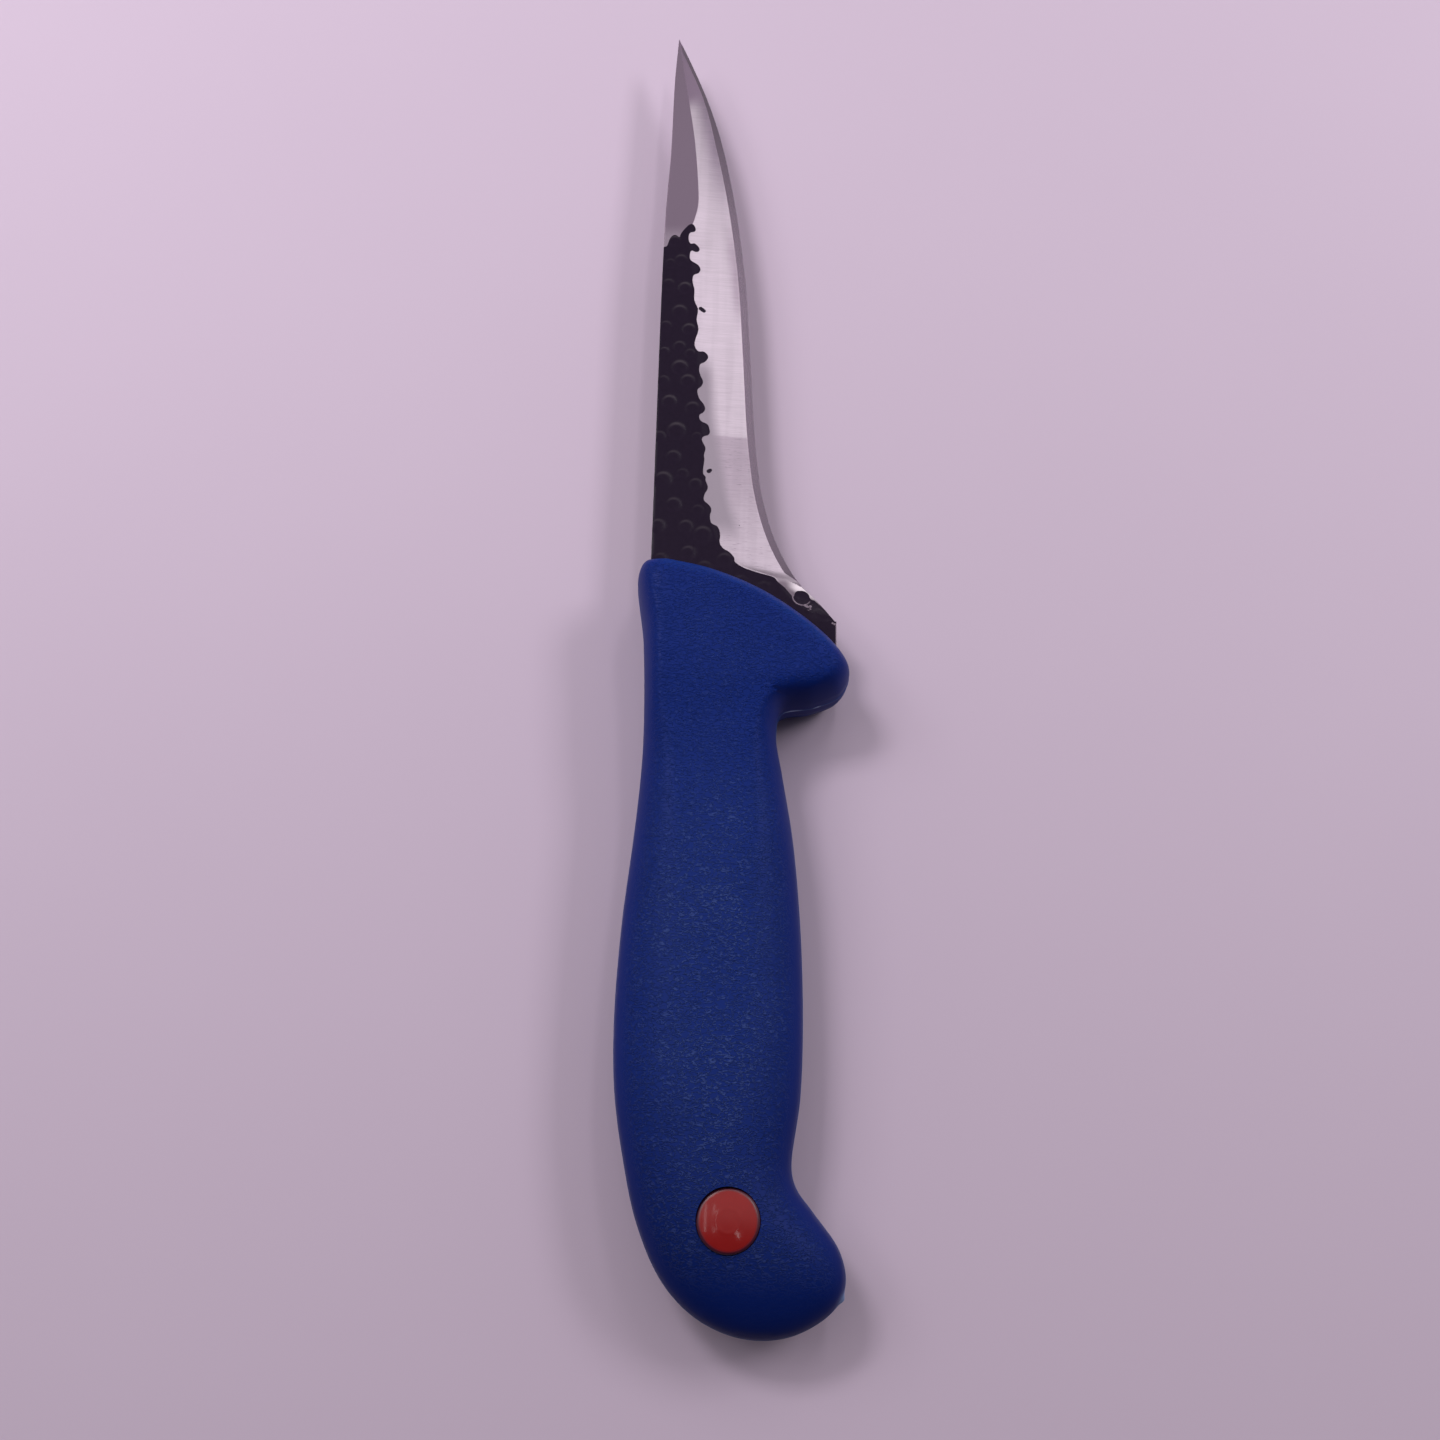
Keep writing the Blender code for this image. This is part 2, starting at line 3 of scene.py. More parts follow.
import bpy
import numpy as np
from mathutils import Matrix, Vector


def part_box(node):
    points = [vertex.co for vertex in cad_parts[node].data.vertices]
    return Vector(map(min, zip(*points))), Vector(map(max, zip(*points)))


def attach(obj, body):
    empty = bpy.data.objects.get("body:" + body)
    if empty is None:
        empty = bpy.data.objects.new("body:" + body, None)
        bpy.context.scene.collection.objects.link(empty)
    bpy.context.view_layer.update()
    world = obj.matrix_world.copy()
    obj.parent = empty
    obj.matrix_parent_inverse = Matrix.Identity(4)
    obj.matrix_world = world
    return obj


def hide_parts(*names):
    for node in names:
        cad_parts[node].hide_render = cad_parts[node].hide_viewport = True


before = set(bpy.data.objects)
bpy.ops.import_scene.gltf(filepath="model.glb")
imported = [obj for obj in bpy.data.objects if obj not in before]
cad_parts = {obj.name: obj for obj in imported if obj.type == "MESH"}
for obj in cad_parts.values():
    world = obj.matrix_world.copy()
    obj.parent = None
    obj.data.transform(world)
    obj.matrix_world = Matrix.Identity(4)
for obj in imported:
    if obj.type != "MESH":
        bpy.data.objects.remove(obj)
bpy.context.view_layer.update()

MM = 0.001              # metres in a millimetre
BLADE_LENGTH = 126.2    # from the handle's front, y = 0, to the tip
STOCK = 2.8             # thickness of the steel sheet
HEEL_X = 35.2           # corner of the heel
HEEL_Y = -12.0
BLOCK = 4000            # points measured at a time, which bounds the memory

blade_low, blade_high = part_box("blade")
handle_low, handle_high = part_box("handle")
ORIGIN = np.array([blade_low[0], blade_high[1] - BLADE_LENGTH * MM,
                   (blade_low[2] + blade_high[2]) / 2])
HALF_HANDLE = (handle_high[2] - handle_low[2]) / 2 / MM
BUTT_Y = (handle_low[1] - ORIGIN[1]) / MM


def place(points):
    """Millimetres on the knife to metres in the frame."""
    return ORIGIN + np.asarray(points, dtype=float) * MM


def measured(mesh):
    """A mesh's vertices back in millimetres on the knife."""
    flat = np.empty(len(mesh.vertices) * 3)
    mesh.vertices.foreach_get("co", flat)
    return (flat.reshape(-1, 3) - ORIGIN) / MM


def curve_through(knots, steps):
    """Centripetal Catmull-Rom curve: each span blends the lines of its four nearest knots."""
    points = np.array(knots, dtype=float)
    ends = np.vstack([2 * points[0] - points[1], points, 2 * points[-1] - points[-2]])
    spans = []
    for p0, p1, p2, p3 in zip(ends, ends[1:], ends[2:], ends[3:]):
        t1 = math.sqrt(np.linalg.norm(p1 - p0))
        t2 = t1 + math.sqrt(np.linalg.norm(p2 - p1))
        t3 = t2 + math.sqrt(np.linalg.norm(p3 - p2))
        t = np.linspace(t1, t2, steps, endpoint=False)[:, None]
        a1 = p0 + (p1 - p0) * t / t1
        a2 = p1 + (p2 - p1) * (t - t1) / (t2 - t1)
        a3 = p2 + (p3 - p2) * (t - t2) / (t3 - t2)
        b1 = a1 + (a2 - a1) * t / t2
        b2 = a2 + (a3 - a2) * (t - t1) / (t3 - t1)
        spans.append(b1 + (b2 - b1) * (t - t1) / (t2 - t1))
    return np.vstack(spans + [points[-1:]])


def distance_inside(points, outline):
    """Distance from each point to the nearest stretch of the outline, a block at a time."""
    start = outline[:-1]
    step = outline[1:] - start
    result = np.empty(len(points))
    for low in range(0, len(points), BLOCK):
        away = points[low:low + BLOCK, None, :] - start[None, :, :]
        share = np.clip((away * step).sum(2) / (step * step).sum(1), 0.0, 1.0)
        gap = away - share[:, :, None] * step
        result[low:low + BLOCK] = np.sqrt((gap ** 2).sum(2).min(1))
    return result


def along_y(knots, y):
    """x of a curve that only rises in y, read at each y."""
    curve = curve_through(knots, 16)
    return np.interp(y, curve[:, 1], curve[:, 0])


def ease(value, start, end):
    """Smooth step from 0 at start to 1 at end."""
    share = np.clip((np.asarray(value, dtype=float) - start) / (end - start), 0.0, 1.0)
    return share * share * (3.0 - 2.0 * share)


def new_piece(name, verts, faces):
    """Mesh object at the origin, with its place in its vertices."""
    mesh = bpy.data.meshes.new(name)
    mesh.from_pydata(place(verts).tolist(), [], faces)
    mesh.update()
    item = bpy.data.objects.new(name, mesh)
    bpy.context.scene.collection.objects.link(item)
    return item


def grid_faces(ring_a, ring_b):
    """Quads between two closed rings of vertex numbers."""
    return np.stack([ring_a, np.roll(ring_a, -1), np.roll(ring_b, -1), ring_b], axis=-1)


def cut(item, cutters):
    """Take closed cutters out of a closed piece, and keep the result as its mesh."""
    for cutter in cutters:
        step = item.modifiers.new("cut", "BOOLEAN")
        step.operation = "DIFFERENCE"
        step.solver = "EXACT"
        step.object = cutter
    seen = item.evaluated_get(bpy.context.evaluated_depsgraph_get())
    mesh = bpy.data.meshes.new_from_object(seen)
    item.modifiers.clear()
    item.data = mesh
    for cutter in cutters:
        bpy.data.objects.remove(cutter, do_unlink=True)


def finish_surface(item, sharp_degrees, material):
    """Smooth shading with edges kept sharp past an angle, and the piece's material."""
    item.data.shade_smooth()
    item.data.set_sharp_from_angle(angle=math.radians(sharp_degrees))
    item.data.materials.clear()
    item.data.materials.append(material)


def paint(item, name, values):
    """One number at each vertex, for the material to read."""
    layer = item.data.attributes.new(name, "FLOAT", "POINT")
    layer.data.foreach_set("value", np.asarray(values, dtype=np.float32))


def turned(name, profile, x, y, sides):
    """Turn a profile of (radius, z) about a standing axis; both its ends lie on the axis."""
    profile = np.asarray(profile, dtype=float)
    angle = np.linspace(0.0, 2 * math.pi, sides, endpoint=False)
    radius = profile[1:-1, 0][:, None]
    height = np.broadcast_to(profile[1:-1, 1][:, None], (len(profile) - 2, sides))
    rings = np.stack([x + radius * np.cos(angle), y + radius * np.sin(angle), height], axis=-1)
    verts = np.vstack([[x, y, profile[0, 1]], rings.reshape(-1, 3), [x, y, profile[-1, 1]]])
    number = 1 + np.arange(rings.shape[0] * sides).reshape(-1, sides)
    faces = [face for a, b in zip(number[1:], number) for face in grid_faces(a, b)]
    faces += [(0, a, b) for a, b in zip(number[0], np.roll(number[0], -1))]
    faces += [(len(verts) - 1, b, a) for a, b in zip(number[-1], np.roll(number[-1], -1))]
    return new_piece(name, verts, [tuple(int(i) for i in f) for f in faces])


# Blade: outline and where its ground faces begin. The grind line runs through the inner points
# of the scale's ragged border.
SPINE = [(0.0, 0.0), (0.0, 78.2), (0.6, 94.7), (0.8, 114.8), (1.3, BLADE_LENGTH)]
EDGE = [(HEEL_X, HEEL_Y), (31.29, -7.2), (27.64, -3.0), (23.9, 4.2), (21.09, 13.9),
        (19.44, 26.5), (18.2, 45.4), (16.85, 64.4), (14.11, 84.6), (11.03, 99.7),
        (7.88, 110.2), (3.79, 120.9), (1.5, BLADE_LENGTH)]
GRIND = [(33.5, -11.4), (30.6, -10.3), (28.0, -9.0), (25.6, -6.3), (23.7, -3.4), (21.0, -2.4),
         (17.6, -1.2), (14.6, 1.0), (12.0, 4.6), (10.6, 8.3), (9.6, 12.8), (9.2, 20.2),
         (8.9, 26.1), (8.2, 31.3), (7.8, 37.0), (7.2, 46.2), (6.9, 53.9), (6.0, 63.4),
         (5.2, 68.5), (5.0, 74.0), (6.2, 78.6), (6.75, 81.8), (6.6, 87.1), (5.56, 98.6),
         (4.08, 108.7), (2.9, 116.0), (1.4, BLADE_LENGTH)]
FACET_Y = 71.0          # where the tip's flat grind begins
STRIP_WIDTH = 1.5       # of the sharpened strip
STRIP_START = 0.40      # half thickness where the strip begins, and what the heel has more
HEEL_EXTRA = 0.72
EDGE_LEFT = 0.06        # half thickness left at the cutting edge
SCALE_DROP = 0.03       # how far the scale lies under the sheet's face
LEAST_HALF = 0.05       # half thickness that no point of the blade goes under
CHAMFER = (0.06, 0.10)  # depth and width of the spine's bevelled corner

# Tang, and the plug behind it. Front and end give the tang's middle and half width.
TANG_START_Y = -21.5
SPINE_SEAT = 6.0        # how far the sheet's full width goes into the handle at the spine
SEAT_SLANT = 1.5
TANG_FRONT = (12.05, 6.75)
TANG_END = (13.75, 5.25)
PLUG_X = 17.1
PLUG_Y = BUTT_Y + 18.0
PLUG_RADIUS = 5.12
PLUG_SEAT = 5.2
STEM_BORE = 3.5
TANG_END_Y = PLUG_Y + 5.35 + 4.5
ANCHOR_RADIUS = 2.5
ANCHOR_COUNT = 3

# Border of the black scale, a closed curve: from the spine over its top, down its ragged right
# side to the heel, round the heel's ground patch and back inside the handle.
SCALE_BORDER = [
    (-2.5, 70.8), (0.4, 71.1), (0.75, 71.8), (1.0, 72.8), (1.5, 73.75), (2.15, 74.1),
    (2.8, 73.75), (3.08, 73.5), (3.3, 74.3), (3.8, 75.25), (4.4, 76.05), (4.9, 76.65),
    (5.5, 76.95), (6.05, 76.6), (6.4, 75.5), (6.1, 75.0), (5.4, 74.8), (5.1, 74.4),
    (5.0, 73.95), (5.1, 72.55), (5.5, 72.0), (6.1, 72.15), (6.4, 72.05), (7.15, 71.25),
    (7.35, 70.65), (7.2, 70.25), (6.95, 70.05), (6.45, 70.0), (5.8, 70.25), (5.55, 70.1),
    (5.4, 69.5), (5.4, 68.3), (5.65, 67.8), (7.2, 66.8), (7.65, 65.75), (7.5, 65.2),
    (7.2, 64.75), (6.35, 64.3), (6.1, 63.3), (6.2, 62.2), (6.55, 60.8), (6.6, 58.2),
    (7.4, 56.0), (7.2, 53.5), (7.65, 51.3), (7.0, 48.5), (7.0, 47.4), (7.3, 46.6),
    (7.9, 46.1), (8.7, 46.2), (9.25, 45.9), (9.65, 45.4), (9.75, 44.9), (9.6, 44.4),
    (9.05, 43.7), (8.25, 43.2), (8.1, 42.9), (8.05, 41.7), (8.4, 40.35), (8.8, 39.5),
    (8.85, 38.8), (8.5, 38.0), (7.9, 37.4), (7.8, 36.9), (8.2, 35.3), (9.05, 34.15),
    (9.45, 33.1), (9.15, 32.2), (8.4, 31.55), (8.35, 30.85), (8.8, 30.1), (9.6, 29.75),
    (10.1, 29.4), (10.4, 28.6), (10.5, 27.8), (10.4, 27.4), (10.2, 27.1), (9.2, 26.65),
    (9.0, 25.9), (9.65, 24.5), (9.75, 23.95), (9.5, 22.6), (9.6, 21.6), (9.45, 18.5),
    (9.95, 17.8), (9.95, 17.1), (10.4, 15.8), (10.35, 15.1), (9.8, 13.9), (9.75, 12.7),
    (10.7, 11.8), (11.15, 11.1), (11.2, 10.35), (11.0, 9.65), (11.2, 8.05), (11.5, 7.7),
    (12.4, 7.3), (12.9, 6.3), (13.05, 5.2), (12.95, 4.1), (13.1, 3.4), (13.75, 2.5),
    (14.65, 2.0), (15.35, 1.35), (15.85, 0.55), (15.9, -0.1), (16.2, -0.5), (17.8, -1.5),
    (20.7, -2.5), (23.6, -3.4), (24.0, -4.05), (25.5, -5.35), (26.3, -6.3), (27.15, -7.2),
    (27.4, -6.4), (27.8, -5.85), (28.4, -5.7), (29.1, -5.9), (30.6, -7.6), (31.2, -7.9),
    (34.9, -11.6), (36.5, -13.2), (36.5, -32.0), (-2.5, -32.0), (-2.5, 70.8)]

# Spots left black in the satin and flecks ground bare at the heel, each x, y and radius. Then
# the heel's dimples with their depth, the bare ring's radius and half width round the first of
# them, and the upper side of the ground patch beside it.
SPOTS = [(7.93, 56.30, 0.42), (8.28, 56.02, 0.46), (8.62, 55.76, 0.40), (10.52, 19.10, 0.44),
         (10.80, 19.36, 0.36), (16.68, 7.76, 0.14), (22.6, -2.9, 0.14)]
HEEL_FLECKS = [(29.37, -9.01, 0.22), (29.78, -9.2, 0.27), (30.35, -9.1, 0.26),
               (30.7, -8.68, 0.14), (30.35, -9.68, 0.20), (29.98, -10.07, 0.22),
               (34.5, -12.5, 0.20), (34.85, -12.7, 0.20)]
HEEL_DIMPLES = [(28.76, -7.1, 1.46, 0.25), (30.85, -8.2, 0.55, 0.12)]
HEEL_RING = (1.78, 0.11)
HEEL_PATCH_TOP = ((23.9, -3.3), (29.9, -6.0))

# Hammer marks in the scale: x and y of the middle, radius, depth.
MARKS = [
    (4.6, 61.2, 1.5, 0.12), (3.7, 55.5, 1.7, 0.10), (5.7, 51.3, 1.5, 0.11),
    (3.9, 47.2, 1.4, 0.09), (0.9, 46.0, 1.1, 0.09), (4.1, 42.4, 1.8, 0.11),
    (5.8, 39.3, 1.6, 0.10), (2.3, 34.5, 1.6, 0.12), (7.0, 33.0, 1.7, 0.09),
    (3.9, 28.0, 2.0, 0.11), (8.0, 26.6, 1.2, 0.07), (3.5, 22.1, 1.6, 0.09),
    (1.7, 17.1, 1.9, 0.10), (8.0, 16.2, 1.4, 0.09), (3.9, 11.7, 1.7, 0.09),
    (1.0, 7.1, 1.6, 0.09), (6.4, 7.0, 1.6, 0.09), (9.7, 5.4, 2.0, 0.09),
    (7.0, 1.5, 1.6, 0.09), (1.8, 0.1, 1.4, 0.08), (8.6, 10.5, 1.4, 0.07),
    (10.2, -1.5, 1.5, 0.08), (14.0, 0.1, 1.7, 0.08), (21.6, -5.4, 1.4, 0.07),
    (3.6, 67.9, 1.5, 0.09), (2.2, 72.5, 1.5, 0.09), (1.0, 52.0, 1.3, 0.08),
    (0.7, 26.6, 1.3, 0.08), (5.4, 18.4, 1.3, 0.07), (1.0, 39.3, 1.2, 0.08),
    (17.0, -4.3, 1.5, 0.07), (25.0, -9.4, 1.3, 0.07), (31.9, -10.6, 1.3, 0.07),
    (6.1, 45.6, 1.2, 0.08), (1.2, 62.0, 1.4, 0.08), (1.4, 67.0, 1.3, 0.07)]


def tang_limits(y):
    """Back and edge side of the tang: its middle and half width change evenly along it."""
    share = (y - TANG_START_Y) / (TANG_END_Y - TANG_START_Y)
    middle = TANG_FRONT[0] + (TANG_END[0] - TANG_FRONT[0]) * share
    half = TANG_FRONT[1] + (TANG_END[1] - TANG_FRONT[1]) * share
    return middle - half, middle + half


def seat_sides(grow):
    """Both sides of the sheet inside the handle, from the front to the tang's round end.

    grow moves them outwards, for the pocket that takes the sheet.
    """
    left_front, right_front = tang_limits(TANG_START_Y)
    left_end, right_end = tang_limits(TANG_END_Y)
    radius = (right_end - left_end) / 2
    middle = (right_end + left_end) / 2
    left = [(-grow, -SPINE_SEAT + SEAT_SLANT - grow),
            (left_front - grow, -SPINE_SEAT - SEAT_SLANT)]
    right = [(HEEL_X + grow, TANG_START_Y + SEAT_SLANT - grow),
             (right_front + grow, TANG_START_Y - SEAT_SLANT - grow)]
    for turn in np.linspace(0.5, 0.06, 6) * math.pi:
        y = TANG_END_Y + radius - (radius + grow) * math.cos(turn)
        left.append((middle - (radius + grow) * math.sin(turn), y))
        right.append((middle + (radius + grow) * math.sin(turn), y))
    return np.array(left), np.array(right)


def blade_lines(y):
    """Spine, grind line, start of the sharpened strip and cutting edge at each y.

    The strip narrows at the heel and towards the tip, and the grind line keeps off both sides.
    """
    left, right = seat_sides(0.0)
    spine = along_y(SPINE, y)
    spine = np.where(y < left[0, 1], np.interp(-y, -left[:, 1], left[:, 0]), spine)
    edge = np.where(y < HEEL_Y, np.interp(-y, -right[:, 1], right[:, 0]), along_y(EDGE, y))
    narrow = (1.0 - 0.82 * ease(y, -1.6, -3.8)) * (1.0 - 0.45 * ease(y, 96.0, 112.0))
    strip = np.minimum(STRIP_WIDTH * narrow, 0.40 * (edge - spine))
    shoulder = edge - strip
    grind = np.minimum(along_y(GRIND, y), shoulder - 0.3)
    grind = np.maximum(grind, spine + 0.25 * (shoulder - spine))
    return spine, grind, shoulder, edge


def facet_height(y):
    """Half thickness along the tip's flat grind: a short run-in, then a steady taper."""
    run_in, run_in_length, taper, rise_before = 0.06, 2.0, 0.0165, 0.05
    past = np.maximum(y - FACET_Y, 0.0)
    before = np.minimum(y - FACET_Y, 0.0)
    return (STOCK / 2 - run_in * (1.0 - np.exp(-past / run_in_length)) - taper * past
            - rise_before * before)


def scale_field(x, y):
    """How far inside the black scale a point lies, negative outside, in millimetres.

    It is the distance to the border curve, positive where a line to the right crosses that
    curve an odd number of times, widened by the spots and cut back by the heel's ring, flecks
    and edge line.
    """
    border = curve_through(SCALE_BORDER, 3)
    points = np.stack([np.ravel(x), np.ravel(y)], axis=1)
    away = distance_inside(points, border)
    odd = np.zeros(len(points), dtype=bool)
    for (ax, ay), (bx, by) in zip(border, border[1:]):
        if ay != by:
            between = (points[:, 1] >= min(ay, by)) & (points[:, 1] < max(ay, by))
            odd ^= between & (points[:, 0] < ax + (bx - ax) * (points[:, 1] - ay) / (by - ay))
    inside = np.where(odd, away, -away).reshape(np.shape(x))
    for cx, cy, radius in SPOTS:
        inside = np.maximum(inside, radius - np.hypot(x - cx, y - cy))
    cx, cy = HEEL_DIMPLES[0][:2]
    ground = HEEL_RING[1] - np.abs(np.hypot(x - cx, y - cy) - HEEL_RING[0])
    ground = np.minimum(ground, 0.6 * (cx - x) + 0.8 * (cy - y) + 0.3)
    ground = np.maximum(ground, np.minimum(x - HEEL_X + 0.16, HEEL_Y - 0.5 - y))
    for cx, cy, radius in HEEL_FLECKS:
        ground = np.maximum(ground, radius - np.hypot(x - cx, y - cy))
    inside = np.minimum(inside, -ground)
    for cx, cy, radius, _ in HEEL_DIMPLES:
        inside = np.maximum(inside, radius - np.hypot(x - cx, y - cy))
    return inside


def mark_depth(x, y):
    """Hammer marks and dimples, the deepest where two meet.

    Each is a bowl of its depth times 1 minus the fourth power of distance over radius.
    """
    depth = np.zeros_like(x)
    for cx, cy, radius, deep in MARKS + HEEL_DIMPLES:
        away = np.minimum(((x - cx) ** 2 + (y - cy) ** 2) / radius ** 2, 1.0)
        depth = np.maximum(depth, deep * (1.0 - away ** 2))
    return depth


def mark_rim(x, y):
    """Painted highlight at the tip's side of each hammer mark, 0 to 1: a soft arc at 0.78 of its
    radius.
    """
    rim = np.zeros_like(x)
    for cx, cy, radius, deep in MARKS:
        away = np.hypot(x - cx, y - cy)
        upward = np.clip((y - cy) / np.maximum(away, 0.01), 0.0, 1.0) ** 2
        arc = np.exp(-((away / radius - 0.78) / 0.13) ** 2) * upward
        rim = np.maximum(rim, arc * np.clip((deep - 0.05) / 0.06, 0.0, 1.0))
    return rim


def heel_polish_highlight(x, y):
    """Polish of the heel's bare ground patch with a painted highlight, 1 along its upper side and
    fading below it.
    """
    (ax, ay), (bx, by) = HEEL_PATCH_TOP
    slope = (by - ay) / (bx - ax)
    below = (ay + slope * (x - ax) - y) / math.hypot(1.0, slope)
    return ease(below, 1.6, 0.2) * (below > -0.6) * ease(x, ax + 1.4, ax + 4.4)


def far_side(x, y):
    """The other face's scale: the same marks, moved along the blade where it is long."""
    return x + 0.3 * np.sin(y * 0.9), y + 2.6 * ease(y, 3.0, 12.0) * ease(y, 74.0, 60.0)


def face_height(x, y, lines, other):
    """Height of one face over the mid plane: the lowest of scale, bevel, strip and facet.

    The bevel falls straight from the grind line to the strip, bowed out a little at the tip and
    hollowed along the blade, and the strip falls on to the cutting edge.
    """
    _, grind, shoulder, edge = lines
    mark_x, mark_y = far_side(x, y) if other else (x, y)
    inside = scale_field(mark_x, mark_y)
    scale = STOCK / 2 - (SCALE_DROP + mark_depth(mark_x, mark_y)) * ease(y, -16.0, -10.0)
    facet = np.where(y > FACET_Y - 1.0, facet_height(y), STOCK / 2)
    top = np.minimum(facet, STOCK / 2)
    heel = ease(y, -5.0, -9.5)
    low = np.minimum(STRIP_START + HEEL_EXTRA * heel, 0.8 * top)
    across = np.clip((x - grind) / (shoulder - grind), 0.0, 1.0)
    tip = ease(y, 70.0, 100.0)
    bow = (0.05 * tip - 0.04 * (1.0 - tip) * (1.0 - heel)) * np.sin(math.pi * across)
    bevel = top - (top - low) / (shoulder - grind) * (x - grind) + bow
    strip = low + (EDGE_LEFT - low) * np.clip((x - shoulder) / (edge - shoulder), 0.0, 1.0)
    ground = np.minimum(np.where(x > shoulder, strip, bevel), facet)
    inner = ease(inside, -0.03, 0.22)
    height = ground + (np.minimum(scale, ground - 0.02) - ground) * inner
    return np.maximum(height, LEAST_HALF), inside


def make_blade(material):
    """Sections across the blade, each a closed loop over both faces, from tip to tang.

    Points across run from the spine's chamfer over the flat, the bevel and the sharpened strip:
    a point's share is 0 at the spine, 1 at the grind line, 2 at the strip and 3 at the edge.
    """
    tip = BLADE_LENGTH - 3.0 * np.linspace(0.0, 1.0, 14) ** 1.5
    facet = np.linspace(tip[-1], 78.0, 90)
    shown = np.linspace(78.0, HEEL_Y, 440)
    left, right = seat_sides(0.0)
    hidden = np.concatenate([HEEL_Y - 0.15 * np.arange(1, 9), [HEEL_Y - 3.0],
                             right[:, 1], left[:, 1],
                             np.linspace(right[1, 1], right[2, 1], 12)[1:-1]])
    y = np.unique(np.round(np.concatenate([tip, facet, shown, hidden]), 4))[::-1]
    lines = blade_lines(y)
    share = np.concatenate([np.linspace(0.0, 1.0, 34), np.linspace(1.0, 2.0, 38)[1:-1],
                            [1.995, 2.0, 2.03], np.linspace(2.0, 3.0, 6)[1:]])
    knots = np.stack(lines, axis=1)
    low = np.minimum(share.astype(int), 2)
    x = knots[:, low] + (knots[:, low + 1] - knots[:, low]) * (share - low)
    rows = np.broadcast_to(y[:, None], x.shape)
    columns = [line[:, None] for line in lines]
    in_seat = rows < HEEL_Y
    chamfer = CHAMFER[0] * (1.0 - np.clip((x - columns[0]) / CHAMFER[1], 0.0, 1.0)) * ~in_seat
    faces_of = []
    insides = []
    for other in (False, True):
        z, inside = face_height(x, rows, columns, other)
        faces_of.append(np.where(in_seat, STOCK / 2, z - chamfer))
        insides.append(inside)
    upper = np.stack([x, rows, faces_of[0]], axis=-1)
    lower = np.stack([x, rows, -faces_of[1]], axis=-1)[:, ::-1]
    loop = np.concatenate([upper, lower], axis=1)
    count = loop.shape[1]
    number = np.arange(len(y) * count).reshape(len(y), count)
    faces = np.concatenate([grid_faces(a, b) for a, b in zip(number[1:], number)]).tolist()
    faces += [number[0].tolist(), number[-1, ::-1].tolist()]
    blade = new_piece("steel_blade", loop.reshape(-1, 3), faces)
    cut(blade, [anchor_rod("hole", k, ANCHOR_RADIUS) for k in range(ANCHOR_COUNT)])
    px, py, pz = measured(blade.data).T
    _, grind, shoulder, _ = blade_lines(py)
    paint(blade, "scale", np.where(pz < 0.0, scale_field(*far_side(px, py)),
                                   scale_field(px, py)))
    paint(blade, "along", py)
    # Painted highlights for the material: arcs on the hammer marks' rims and the upper side of the
    # heel's patch.
    paint(blade, "mark_rim", mark_rim(px, py))
    paint(blade, "polish", heel_polish_highlight(px, py))
    paint(blade, "past_grind", px - grind)
    paint(blade, "past_shoulder", px - shoulder)
    paint(blade, "across", np.clip((px - grind) / (shoulder - grind), 0.0, 1.0))
    finish_surface(blade, 30, material)
    return blade


def anchor_rod(name, k, radius):
    """Upright rod at one of the tang's anchor holes, longer than the sheet is thick."""
    y = TANG_START_Y + (TANG_END_Y - TANG_START_Y) * (k + 0.75) / (ANCHOR_COUNT + 0.25)
    left, right = tang_limits(y)
    return turned(name, [(0, 3), (radius, 3), (radius, -3), (0, -3)], (left + right) / 2, y, 48)


# Handle: its outline on the mid plane, back first, then the hook, the grip's edge and the guard.
HANDLE = [(3.38, -1.3), (-0.9, -1.9), (-2.2, -4.0), (-0.8, -17.0), (-0.1, -34.5),
          (-0.28, -42.8), (-1.09, -54.2), (-2.53, -70.1), (-3.1, -86.8), (-2.44, -98.9),
          (-0.2, -111.0), (1.9, -118.8), (5.3, -126.3), (8.8, -130.8), (13.0, -134.0),
          (17.9, -136.0), (22.9, -136.6), (27.9, -135.8), (32.9, -133.2), (35.4, -130.6),
          (36.4, -127.3), (35.3, -122.7), (31.0, -116.9), (28.4, -113.5), (27.5, -110.3),
          (28.89, -98.9), (29.3, -86.8), (28.79, -70.1), (27.36, -54.2), (25.48, -42.8),
          (24.2, -34.5), (25.2, -30.4), (31.0, -29.07), (36.0, -26.58), (37.6, -22.6),
          (34.59, -17.4), (23.31, -8.36), (12.41, -3.39), (3.38, -1.3)]
CENTRE = [(14.05, -16.3), (12.05, -34.5), (13.1, -86.8), (13.75, -110.3), (20.5, -122.1)]
NECK_Y = -34.5          # narrow place behind the guard
WAIST_Y = -110.3        # narrow place before the hook
NECK_THINNER = 0.6      # what half the thickness loses at the neck
BUTT_LEAD = 4.3         # how far before the waist the butt's fall begins
BUTT_FALL = 0.004       # the fall, for each square of a millimetre past that
BOLSTER_ROUNDING = 3.6  # how far in the bolster is rounded, then what the next parts add to it
NECK_ROUNDING = 3.0
PALM_ROUNDING = 9.6
BUTT_ROUNDING = -3.2
SEAM_HEIGHT = 0.10      # how far the mould's seam stands proud
NUB = (35.4, -129.9)    # the gate's nub on the seam
NUB_HEIGHT = 0.55
NUB_RADIUS = 0.75
FRONT_LIGHT_BAND = 2.1        # how far inside the front edge its painted band of light lies
STATIONS = 441          # points along the centreline, and in the fans round its two ends
BUTT_FAN = 180
FRONT_FAN = 200
POCKET_FIT = 0.08       # room round the steel

# Burrs on the seam under the guard, painted pale as painted glints: x of the middle, half length,
# share.
GUARD_Y = -29.4
GUARD_BURR_GLINTS = [(27.1, 1.3, 0.9), (31.7, 0.5, 1.0)]


